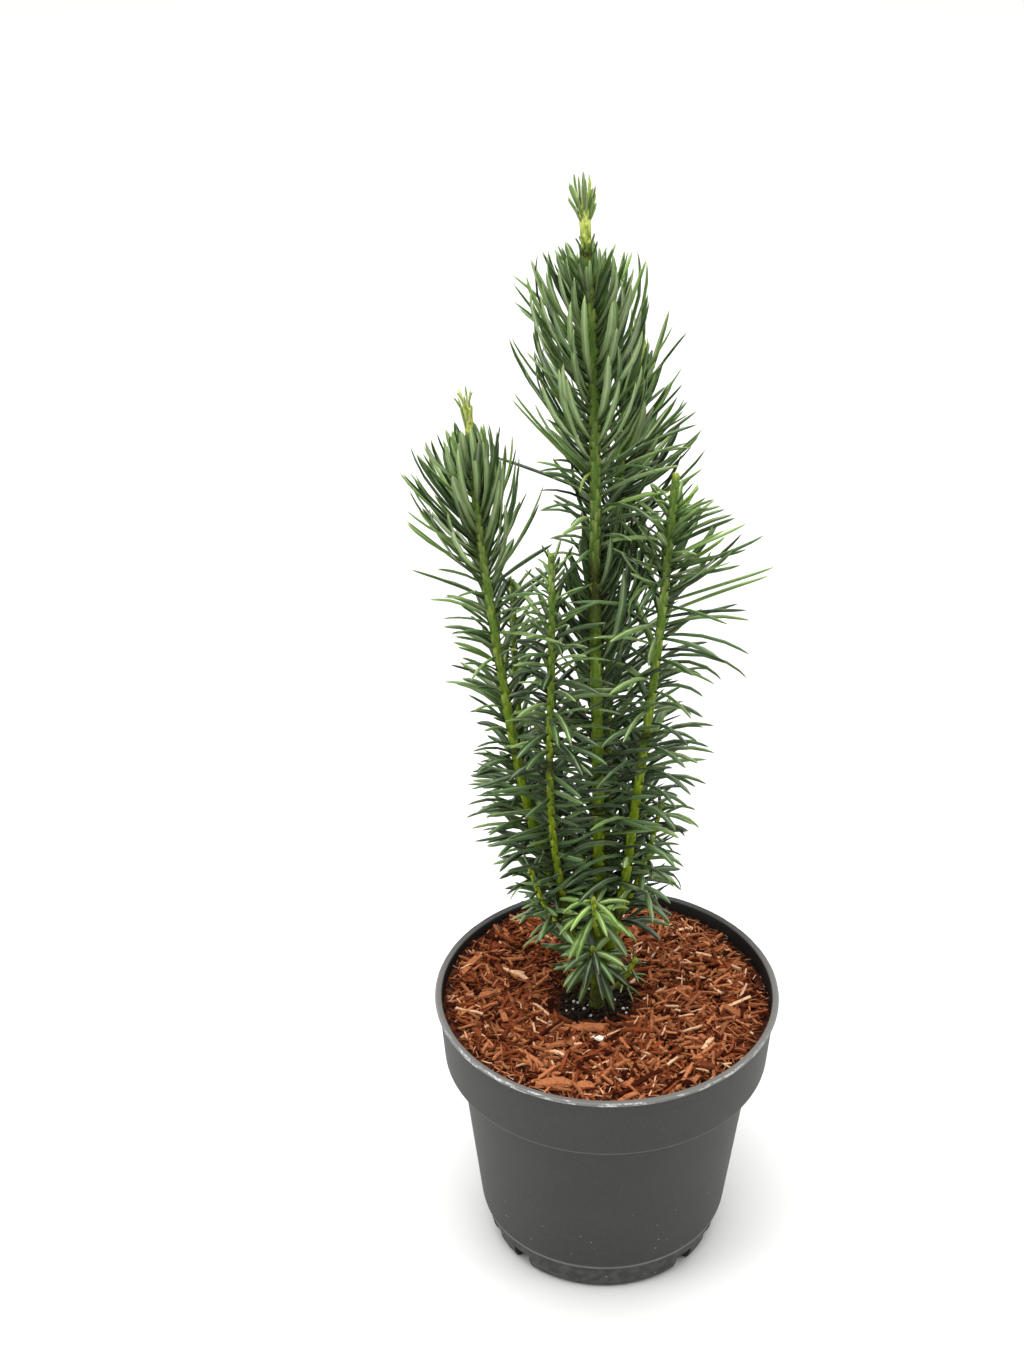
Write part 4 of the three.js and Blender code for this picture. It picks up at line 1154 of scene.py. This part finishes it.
def bark_shapes(kind):
    """The shapes of one kind of scattered bark, set aside."""
    number, *changes, thickness, blunt, seed = BARK_SHAPES[kind]
    shapes = []
    for i in range(number):
        length, width, bend = (first + step * i for first, step in changes)
        points = sliver(length, width, thickness, bend, blunt, np.random.default_rng(seed + i))
        faces = tube_faces(*SLIVER_STEPS)
        shapes.append(new_object(f"{kind}_{i}", points * MM, faces, [], smooth=False))
    return shape_collection(kind, shapes)


class YEW_OT_mulch(bpy.types.Operator):
    """Lays shredded bark over the pot: a bed, fibres, splinters and chips in several colours"""

    bl_idname = "yew.mulch"
    bl_label = "Bark mulch"

    def execute(self, context):
        settings = context.scene.yew_mulch
        barks = {
            # The dark bark is wet bark that lies lowest, and its darkness also stands as painted
            # shade in the gaps.
            "dark": shredded_bark("damp_and_shaded_bark", settings.dark, 0.5),
            "red": shredded_bark("red_bark", settings.red, 0.52),
            "orange": shredded_bark("dry_bark", settings.orange, 0.4),
            "pale": shredded_bark("pale_wood", settings.pale, 0.2),
            "white": shredded_bark("white_sapwood", linear("#f2ead8"), 0.05),
        }
        # The bed under the bark is dust darker than any bark, and its dark tone is also painted shade
        # in the gaps between the pieces.
        dust = crumbly("bark_dust_and_gap_shade", shade(settings.dark, 0.35), shade(settings.red, 0.6), 1.8, 1.2)
        bed = bed_object(dust)
        pieces = [bed, loose_chips(barks)]
        groups = {kind: bark_shapes(kind) for kind in BARK_SHAPES}
        tree = scatter_tree()
        area = math.pi * (MULCH_RADIUS * MM) ** 2
        for bark, kind, share, step, tilt, size, lift in BARK_LAYERS:
            density = share * getattr(settings, kind) / area
            pieces.append(scattered(f"{bark}_{kind}", bed, tree, groups[kind], density,
                                    barks[bark], settings.seed + step, tilt, size, lift))
        for piece in pieces:
            placed(piece, "bark_chips", "bark_mulch")
        remove_shapes(groups.values())
        return {"FINISHED"}


# The plant's rule

def seeded_numbers(seed):
    """A repeatable row of numbers from 0 to 1."""
    state = seed
    while True:
        state = (state * 1664525 + 1013904223) % 2 ** 32
        yield state / 2 ** 32


def smooth_curve(path, shares):
    """Points on the smooth curve through a path's points."""
    path = np.array(path, dtype=float)
    row = np.vstack([2 * path[0] - path[1], path, 2 * path[-1] - path[-2]])
    place = shares * (len(path) - 1)
    piece = np.minimum(place.astype(int), len(path) - 2)
    t = (place - piece)[:, None]
    a, b, c, d = (row[piece + k] for k in range(4))
    return 0.5 * (2 * b + (c - a) * t + (2 * a - 5 * b + 4 * c - d) * t ** 2
                  + (3 * b - a - 3 * c + d) * t ** 3)


class Stem:
    """A stem's line with, at any height, its centre, directions and radius in millimetres."""

    def __init__(self, path, radius, flare=0.0):
        shares = np.linspace(0, 1, STEM_POINTS)
        self.line = smooth_curve(path, shares)
        self.heights = self.line[:, 2]
        self.along = unit(np.gradient(self.line, axis=0))
        self.radii = radius[0] + (radius[1] - radius[0]) * shares
        self.radii = self.radii + flare * np.exp((self.heights[0] - self.heights) / FLARE_HEIGHT)

    def at(self, heights):
        def read(values):
            return np.interp(heights, self.heights, values)
        centre = np.stack([read(self.line[:, k]) for k in range(3)], axis=-1)
        along = unit(np.stack([read(self.along[:, k]) for k in range(3)], axis=-1))
        across = unit(np.array([1.0, 0, 0]) - along[..., :1] * along)
        return centre, along, across, np.cross(across, along), read(self.radii)


def grown_stems():
    stems = {}
    for name, stem in STEMS.items():
        flare = ROOT_FLARE if name == "centre" else 0.0
        stems[name] = Stem(stem["path"], stem["radius"], flare)
    for name, path in SHOOTS.items():
        stems[name] = Stem(path, SHOOT_RADIUS)
    return stems


def midrib(leaf, shares):
    """Points and forward directions along a leaf's midrib: one curvature, and the leaf's droop."""
    bend = leaf["curl"] if abs(leaf["curl"]) > LEAST_BEND else LEAST_BEND
    angle = leaf["lean"] + bend * shares
    reach = leaf["length"] / bend
    along_part = reach * (np.sin(angle) - math.sin(leaf["lean"]))
    out_part = reach * (math.cos(leaf["lean"]) - np.cos(angle))
    points = leaf["root"] + along_part[:, None] * leaf["along"] + out_part[:, None] * leaf["out"]
    forward = np.cos(angle)[:, None] * leaf["along"] + np.sin(angle)[:, None] * leaf["out"]
    points[:, 2] -= leaf["droop"] * leaf["length"] * shares ** 2
    forward[:, 2] -= 2 * leaf["droop"] * shares
    return points, unit(forward)


def placed_leaf(leaf, station, turned, shortened):
    """The leaf turned round its stem and shortened."""
    centre, along, across, up, radius = station
    turn = leaf["turn"] + math.radians(turned)
    out = across * math.cos(turn) + up * math.sin(turn)
    out = unit(out - out.dot(along) * along)
    return {**leaf, "along": along, "out": out, "set_turn": turn,
            "root": centre + out * radius * LEAF_ROOT_SHARE, "length": leaf["length"] * shortened}


def clear_place(leaf, station, others):
    """The first place where a leaf keeps clear of the other stems and of the mulch, or nothing."""
    shares = np.linspace(0.2, 1, 9)
    for shortened in SHORTER_TRIES:
        for turned in TURNED_TRIES:
            candidate = placed_leaf(leaf, station, turned, shortened)
            points, _ = midrib(candidate, shares)
            floor = mulch_height(points[:, 0], points[:, 1]) + MULCH_CLEARANCE
            if np.any(points[:, 2] < floor):
                continue
            gaps = np.linalg.norm(points[:, None, :] - others[None, :, :3], axis=-1) - others[:, 3]
            if gaps.min() > STEM_CLEARANCE:
                return candidate
    return None


def parted(turn, parting, random_share):
    """A leaf's turn, pushed aside where it would hide the front of its stem."""
    from_front = (turn - FRONT + 180) % 360 - 180
    push = parting * math.exp(-(from_front / PARTING_REACH) ** 2) * (0.45 + 0.55 * random_share)
    return turn + math.copysign(push, from_front)


def between(pair, share):
    return pair[0] + (pair[1] - pair[0]) * share


def kind_of(shares, number):
    """The leaf colour that a number from 0 to 1 stands for."""
    for kind, reached in zip(shares, accumulate(shares.values())):
        if number <= reached:
            return kind
    return kind


def new_leaf(mass, share, turn, full_width, numbers, spare):
    """A leaf a share of the way up its mass, before it is placed."""
    change = share ** mass["late"]
    sideways = math.cos(math.radians(turn))
    length = between(mass["leaf"], change) * (1 + LENGTH_SPREAD * (next(numbers) - 0.5))
    length *= 1 + mass["longer"] * sideways
    lean = between(mass["lean"], change) + LEAN_SPREAD * (next(numbers) - 0.5)
    lean += mass["sided"] * sideways
    return {
        "stem": mass["stem"],
        "turn": math.radians(turn),
        "height": between(mass["span"], share),
        "length": length,
        "lean": math.radians(lean),
        "curl": math.radians(between(mass["curl"], change) + CURL_SPREAD * (next(spare) - 0.5)),
        "twist": math.radians(TWIST_SPREAD * (next(numbers) - 0.5)),
        "sway": SWAY_SPREAD * (next(spare) - 0.5),
        "droop": mass["droop"],
        "width": (min(full_width, SLENDER * length) * mass["slim"]
                  * (WIDTH_LEAST + WIDTH_SPREAD * next(spare))),
        "kind": kind_of(KIND_SHARES[mass["kind"]], next(spare)),
        "tint": next(spare),
    }


def lone_leaf(index, row, full_width):
    """A leaf that stands in the tables by itself, before it is placed."""
    stem, height, turn, length, lean, curl, kind = row
    number = index * STRAY_STEP % 1
    return {
        "stem": stem, "turn": math.radians(turn), "height": height, "length": length,
        "lean": math.radians(lean), "curl": math.radians(curl), "twist": 0.1, "sway": 0.04,
        "droop": 0, "width": min(full_width, SLENDER * length) * 0.9,
        "kind": kind or kind_of(KIND_SHARES["lone"], number), "tint": number * 7 % 1,
    }


def grown_leaves(stems, full_width):
    """Every leaf of the plant, mass by mass: a list for each mass, and the strays."""
    lines = {name: np.hstack([stem.line[::8], stem.radii[::8, None]])
             for name, stem in stems.items()}
    grown = {}
    for name, mass in MASSES.items():
        numbers = seeded_numbers(mass["seed"])
        spare = seeded_numbers(mass["seed"] + SPARE_SEED)
        low, high = mass["span"]
        count = round((high - low) / mass["pitch"])
        others = np.vstack([line for key, line in lines.items() if key != mass["stem"]])
        grown[name] = []
        for i in range(count):
            turn = GOLDEN_ANGLE * i + TURN_SPREAD * (next(numbers) - 0.5)
            turn = parted(turn, mass["parting"], next(spare))
            leaf = new_leaf(mass, (i + 0.5) / count, turn, full_width, numbers, spare)
            leaf = clear_place(leaf, stems[mass["stem"]].at(leaf["height"]), others)
            if leaf is not None:
                grown[name].append(leaf)
    lone = [(stem, *row, None) for stem, rows in LONE_LEAVES.items() for row in rows]
    strays = [lone_leaf(index, row, full_width) for index, row in enumerate(lone + FRONT_LEAVES)]
    grown["strays"] = [placed_leaf(leaf, stems[leaf["stem"]].at(leaf["height"]), 0, 1)
                       for leaf in strays]
    return grown


# Leaves

# The blade's cross-section, in half widths across and half thicknesses up, anticlockwise as seen
# from its tip: its two halves slope down from the midrib. Each face of it is upper side, midrib or
# underside.
BLADE_SECTION = np.array([
    (1.0, -1.15), (0.2, 0.9), (-0.2, 0.9), (-1.0, -1.15), (-0.26, -0.3), (0.0, -0.75), (0.26, -0.3),
])
BLADE_FACES = [0, 1, 0, 2, 1, 1, 2]
BLADE_SHARES = np.array([0, 0.07, 0.2, 0.42, 0.68, 0.86, 0.95, 1.0])
BLADE_WIDTHS = np.array([0.36, 0.6, 0.88, 1.0, 0.98, 0.78, 0.42, 0.04])
BLADE_DEPTHS = np.array([1.0, 1.0, 1.0, 1.0, 0.95, 0.85, 0.6, 0.15])


def blade_rings(leaf, thickness):
    """The points of one blade, ring by ring from its foot."""
    points, forward = midrib(leaf, BLADE_SHARES)
    flat = np.broadcast_to(np.cross(leaf["along"], leaf["out"]), forward.shape)
    twist = (leaf["twist"] * (0.4 + 0.8 * BLADE_SHARES))[:, None]
    flat = unit(flat - (flat * forward).sum(axis=1)[:, None] * forward)
    across = flat * np.cos(twist) + np.cross(forward, flat) * np.sin(twist)
    over = np.cross(forward, across)
    points = points + across * (leaf["sway"] * leaf["length"] * BLADE_SHARES ** 2)[:, None]
    wide = (BLADE_WIDTHS * leaf["width"] / 2)[:, None, None] * BLADE_SECTION[None, :, :1]
    deep = (BLADE_DEPTHS * thickness / 2)[:, None, None] * BLADE_SECTION[None, :, 1:]
    return points[:, None, :] + wide * across[:, None, :] + deep * over[:, None, :]


def blade_meshes(name, leaves, materials, thickness):
    """One mesh of many leaves: closed curved blades with a raised midrib and a keel below."""
    stations, corners = len(BLADE_SHARES), len(BLADE_SECTION)
    pattern = tube_faces(stations, corners)
    slots = BLADE_FACES * (stations - 1) + [0, 0]
    vertices, faces, tints = [], [], []
    for i, leaf in enumerate(leaves):
        vertices.append(blade_rings(leaf, thickness).reshape(-1, 3))
        faces += [tuple(v + i * stations * corners for v in face) for face in pattern]
        tints += [leaf["tint"]] * (stations * corners)
    reaches = np.tile(np.repeat(BLADE_SHARES, corners), len(leaves))
    asides = np.tile(np.abs(BLADE_SECTION[:, 0]), stations * len(leaves))
    return new_object(name, np.vstack(vertices) * MM, faces, materials, slots * len(leaves),
                      {"tint": tints, "reach": reaches, "aside": asides})


# Leaf colours: upper side dark and light, midrib, underside and tip. The deep leaves, which fill the
# lower and inner masses, are darker partly as older bluish leaves and partly as painted shade.
LEAF_TONES = {
    "deep": ("#0b1705", "#4f6f37", "#7f9567", "#5b7646", "#879358"),
    "green": ("#203911", "#80a255", "#aebe86", "#89a56a", "#b3ba79"),
    "fresh": ("#4a6e24", "#8fb353", "#b0c67a", "#92ad63", "#c2cb75"),
    "young": ("#7c9836", "#c3d06e", "#dbe398", "#c6d276", "#b9c667"),
}


class YEW_OT_leaves(bpy.types.Operator):
    """Grows the leaves of every mass up the stems, joined by colour"""

    bl_idname = "yew.leaves"
    bl_label = "Leaves"

    def execute(self, context):
        settings = context.scene.yew_plant
        grown = grown_leaves(grown_stems(), settings.leaf_width / MM)
        for kind, tones in LEAF_TONES.items():
            dark, light, rib, below, tip = (linear(code) for code in tones)
            finishes = [
                waxy_leaf(f"waxy_{kind}_leaf", dark, light, tip, 0.32),
                waxy_leaf(f"{kind}_midrib", shade(rib, 0.5), rib, tip, 0.42),
                waxy_leaf(f"{kind}_underside", shade(below, 0.45), below, tip, 0.5),
            ]
            leaves = [leaf for mass in grown.values() for leaf in mass if leaf["kind"] == kind]
            nodes = [f"leaves_{name}" for name in MASSES
                     if any(leaf["kind"] == kind for leaf in grown[name])]
            piece = blade_meshes(f"{kind}_leaves", leaves, finishes, settings.leaf_thickness / MM)
            slot = "leaf_young" if kind in ("young", "fresh") else "leaf_green"
            placed(piece, slot, *nodes)
        return {"FINISHED"}


# Stems and buds

# Ridges below leaves, below older scars and below scars on new growth: size (drawn for the older
# ones from a least size and a spread), how far they run down, and width.
LEAF_RIDGE = (1.0, 8.0, 0.8)
SCAR_RIDGE = (0.2, 0.4, 6.5, 0.9)
YOUNG_SCAR_RIDGE = (1.2, 1.7, 0.85)


def leaf_bases(name, stem, grown):
    """Where leaves meet a stem, and the older scars between them: height, turn, size, run, width."""
    bases = [(leaf["height"], leaf["set_turn"], *LEAF_RIDGE)
             for leaves in grown.values() for leaf in leaves if leaf["stem"] == name]
    least, spread, run, width = SCAR_RIDGE
    numbers = seeded_numbers(SCAR_SEED)
    foot, top = stem.heights[0] + 4, stem.heights[-1]
    for i in range(int((top - foot) / SCAR_PITCH)):
        turn = math.radians(GOLDEN_ANGLE * i + 60 * next(numbers))
        size = least + spread * next(numbers)
        bases.append((foot + SCAR_PITCH * i, turn, size, run, width))
    if name in NEW_GROWTH:
        # Broad scars wind up the bare new growth
        low = NEW_GROWTH[name]
        for i in range(int((top - low) / YOUNG_SCAR_PITCH)):
            turn = math.radians(GOLDEN_ANGLE * i)
            bases.append((low + YOUNG_SCAR_PITCH * i, turn, *YOUNG_SCAR_RIDGE))
    return bases


def stem_mesh(name, stem, bases, settings, material):
    """One stem with the relief of its leaf bases, each a ridge that runs down from its leaf."""
    heights = np.arange(stem.heights[0], stem.heights[-1], STEM_STEP)
    heights = np.append(heights, stem.heights[-1])
    sides = settings.stem_sides
    turns = turns_round(sides)
    centre, _, across, up, radius = stem.at(heights)
    ridge = np.zeros((len(heights), sides))
    for height, turn, size, run, width in bases:
        below = height - heights
        hit = (below > -RIDGE_HEAD) & (below < run)
        fall = np.where(below[hit] > 0, (1 - below[hit] / run) ** 0.8, 1 + below[hit] / RIDGE_HEAD)
        aside = (turns - turn + math.pi) % (2 * math.pi) - math.pi
        spread = np.exp(-((aside * radius[hit, None]) / width) ** 2)
        ridge[hit] = np.maximum(ridge[hit], fall[:, None] * spread * size)
    rough = np.array([[noise.noise(Vector((math.cos(t) * 2, math.sin(t) * 2, h * 0.35)))
                       for t in turns] for h in heights])
    reach = radius[:, None] + ridge * settings.ridge / MM + BARK_ROUGHNESS * rough
    reach[-1] *= TIP_SHARE
    outward = (np.cos(turns)[None, :, None] * across[:, None, :]
               + np.sin(turns)[None, :, None] * up[:, None, :])
    ring = centre[:, None, :] + reach[..., None] * outward
    if name == "centre":
        ring[0, :, 2] = GROUND
    # The rings run anticlockwise seen from below
    faces = turned_over(tube_faces(len(heights), sides))
    youth = np.clip((heights - NEW_GROWTH.get(name, 2 * heights[-1])) / 3 + 0.3, 0, 1)
    brown = np.zeros(len(heights))
    for at, half in GROWTH_RINGS.get(name, []):
        brown = np.maximum(brown, np.clip(1.5 - np.abs(heights - at) / half, 0, 1))
    return new_object(f"{name}_stem", ring.reshape(-1, 3) * MM, faces, [material], attributes={
        "ridge": ridge.ravel(), "youth": np.repeat(youth, sides), "ring": np.repeat(brown, sides)})


class YEW_OT_stems(bpy.types.Operator):
    """Grows the stems and short shoots, ridged by the leaf bases that run down them"""

    bl_idname = "yew.stems"
    bl_label = "Stems"

    def execute(self, context):
        settings = context.scene.yew_plant
        stems = grown_stems()
        grown = grown_leaves(stems, settings.leaf_width / MM)
        bark = ridged_bark()
        for name, stem in stems.items():
            piece = stem_mesh(name, stem, leaf_bases(name, stem, grown), settings, bark)
            kind = "stem" if name in STEMS else "shoot"
            placed(piece, "stem_bark", f"{kind}_{name}")
        return {"FINISHED"}


# Bud scales: their stem, the height of the topmost (the stem's tip if none is given), a scale's
# length, how many, over what reach below the topmost, and how far they swell the stem.
BUDS = [
    ("right", None, 3.6, 34, 12, 1.0), ("inner_left", None, 2.8, 12, 5, 1.0),
    ("back_left", None, 2.8, 12, 5, 1.0), ("front_high", None, 3.0, 12, 4, 0.9),
    ("front_middle", None, 2.6, 8, 3, 0.9), ("front_low", None, 2.6, 8, 3, 0.9),
    ("right_short", None, 2.8, 10, 4, 1.0), ("left_short", None, 2.8, 10, 4, 1.0),
    ("back_short_left", None, 2.8, 10, 4, 1.0), ("back_short_right", None, 2.8, 10, 4, 1.0),
    ("centre", 434, 4.2, 7, 5, 1.5), ("left", 333, 2.6, 8, 4, 1.3),
    ("right", 347, 2.6, 8, 4, 1.3),
]
SCALE_CURL = -34
SCALE_LEAN = (34, 12)
SCALE_THICKNESS = 0.8
SCALE_WIDTH = 0.6
SCALE_ROOT_SHARE = 0.5
SCALE_TIP = "#8f8434"

# The finishes of a bud scale's upper side, rib and inside: dark, light and roughness.
SCALE_TONES = {
    "bud_scale": ("#7f8f24", "#aab53a", 0.5),
    "bud_scale_rib": ("#8f9c30", "#b4bd48", 0.5),
    "bud_scale_inside": ("#7d8c2c", "#a3ae48", 0.55),
}


class YEW_OT_buds(bpy.types.Operator):
    """Sets the knobbly scaled buds on the tips of the stems and shoots"""

    bl_idname = "yew.buds"
    bl_label = "Buds"

    def execute(self, context):
        stems = grown_stems()
        scales = []
        for name, top, length, count, reach, swell in BUDS:
            numbers = seeded_numbers(BUD_SEED + len(scales))
            stem = stems[name]
            top = top or stem.heights[-1]
            for i in range(count):
                share = i / count
                centre, along, across, up, radius = stem.at(top - reach * (1 - share))
                turn = math.radians(GOLDEN_ANGLE * i)
                out = unit(across * math.cos(turn) + up * math.sin(turn))
                scales.append({
                    "along": along, "out": out,
                    "root": centre + out * radius * SCALE_ROOT_SHARE * swell,
                    "length": length * (0.75 + 0.3 * next(numbers)),
                    "lean": math.radians(between(SCALE_LEAN, share)),
                    "curl": math.radians(SCALE_CURL), "twist": 0.0, "sway": 0.0, "droop": 0,
                    "width": length * SCALE_WIDTH, "tint": next(numbers),
                })
        finishes = [waxy_leaf(name, linear(dark), linear(light), linear(SCALE_TIP), roughness)
                    for name, (dark, light, roughness) in SCALE_TONES.items()]
        buds = blade_meshes("buds", scales, finishes, SCALE_THICKNESS)
        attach(buds, "root")
        return {"FINISHED"}


# The stage, in metres; the sensor and lens are in millimetres, angles in degrees

FLOOR_HALF = 8.0
SENSOR_WIDTH = 36
CAMERA_LENS = 58.14
CAMERA_SHIFT = -0.0688
CAMERA_PLACE = (-0.0056, -1.0, 0.971)
CAMERA_PITCH = 30.83
CAMERA_ROLL = 1.2

# Soft lights: place, the point they face, width, and the setting and share of it that power them.
LIGHTS = {
    "ceiling": ((0, 1.4, 3.4), (0, 1.4, 0), 7.0, "ceiling", 1),
    "overhead_softbox": ((-0.1, -0.3, 1.7), (0, 0, 0.3), 0.9, "softbox", 1),
    "left_softbox": ((-1.3, -0.6, 0.9), (0, 0, 0.35), 0.7, "softbox", 0.4),
    "right_softbox": ((1.4, -0.4, 0.9), (0, 0, 0.35), 0.7, "softbox", 0.26),
}


def softbox(name, place, aim, width, power):
    """A square area light at a place, turned to face a point."""
    lamp = bpy.data.lights.new(name, "AREA")
    lamp.size = width
    lamp.energy = power
    thing = bpy.data.objects.new(name, lamp)
    thing.location = place
    thing.rotation_euler = (Vector(aim) - Vector(place)).to_track_quat("-Z", "Y").to_euler()
    bpy.context.scene.collection.objects.link(thing)


def set_camera(scene):
    """The camera stands in front of the pot and above the plant, and looks down on it."""
    data = bpy.data.cameras.new("camera")
    data.sensor_width = SENSOR_WIDTH
    data.lens = CAMERA_LENS
    data.shift_x = CAMERA_SHIFT
    pitch, roll = math.radians(CAMERA_PITCH), math.radians(CAMERA_ROLL)
    forward = Vector((0, math.cos(pitch), -math.sin(pitch)))
    level = Vector((1, 0, 0))
    over = level.cross(forward)
    right = math.cos(roll) * level + math.sin(roll) * over
    upward = math.cos(roll) * over - math.sin(roll) * level
    thing = bpy.data.objects.new("camera", data)
    turned = Matrix((right, upward, -forward)).transposed().to_4x4()
    thing.matrix_world = Matrix.Translation(CAMERA_PLACE) @ turned
    scene.collection.objects.link(thing)
    scene.camera = thing


class YEW_OT_stage(bpy.types.Operator):
    """Sets the pale floor, the soft lights and the camera"""

    bl_idname = "yew.stage"
    bl_label = "Stage"

    def execute(self, context):
        settings = context.scene.yew_stage
        half = FLOOR_HALF
        corners = [(-half, -half, 0), (half, -half, 0), (half, half, 0), (-half, half, 0)]
        floor = new_object("floor", corners, [(0, 1, 2, 3)], [pale_floor(settings.floor)],
                           smooth=False)
        world = bpy.data.worlds.new("studio")
        world.use_nodes = True
        sky = world.node_tree.nodes["Background"]
        sky.inputs["Color"].default_value = (1, 1, 1, 1)
        sky.inputs["Strength"].default_value = settings.daylight
        context.scene.world = world
        context.scene.view_settings.view_transform = "Standard"
        for name, (place, aim, width, source, share) in LIGHTS.items():
            softbox(name, place, aim, width, getattr(settings, source) * share)
        set_camera(context.scene)
        return {"FINISHED"}


class YEW_PT_panel(bpy.types.Panel):
    """Lists the pieces and their settings"""

    bl_idname = "YEW_PT_panel"
    bl_label = "Plum yew"
    bl_space_type = "VIEW_3D"
    bl_region_type = "UI"
    bl_category = "Plum yew"

    def draw(self, context):
        layout = self.layout
        for group, (_, heading) in SETTINGS.items():
            box = layout.box()
            box.label(text=heading)
            values = getattr(context.scene, group)
            for key in values.bl_rna.properties.keys():
                if key not in ("rna_type", "name"):
                    box.prop(values, key)
        for step in STEPS:
            layout.operator(step.bl_idname)


SETTINGS = {
    "yew_pot": (PlumYewPotSettings, "Pot"),
    "yew_mulch": (PlumYewMulchSettings, "Mulch"),
    "yew_plant": (PlumYewPlantSettings, "Plant"),
    "yew_stage": (PlumYewStageSettings, "Stage"),
}
STEPS = [YEW_OT_pot, YEW_OT_potting_soil, YEW_OT_root_plug, YEW_OT_mulch, YEW_OT_stems,
         YEW_OT_leaves, YEW_OT_buds, YEW_OT_stage]


def register():
    for name, (group, _) in SETTINGS.items():
        bpy.utils.register_class(group)
        setattr(bpy.types.Scene, name, PointerProperty(type=group))
    for step in STEPS:
        bpy.utils.register_class(step)
    bpy.utils.register_class(YEW_PT_panel)


def unregister():
    bpy.utils.unregister_class(YEW_PT_panel)
    for step in reversed(STEPS):
        bpy.utils.unregister_class(step)
    for name, (group, _) in SETTINGS.items():
        delattr(bpy.types.Scene, name)
        bpy.utils.unregister_class(group)


def main():
    register()
    for step in STEPS:
        family, action = step.bl_idname.split(".")
        getattr(getattr(bpy.ops, family), action)()


if __name__ == "__main__":
    main()
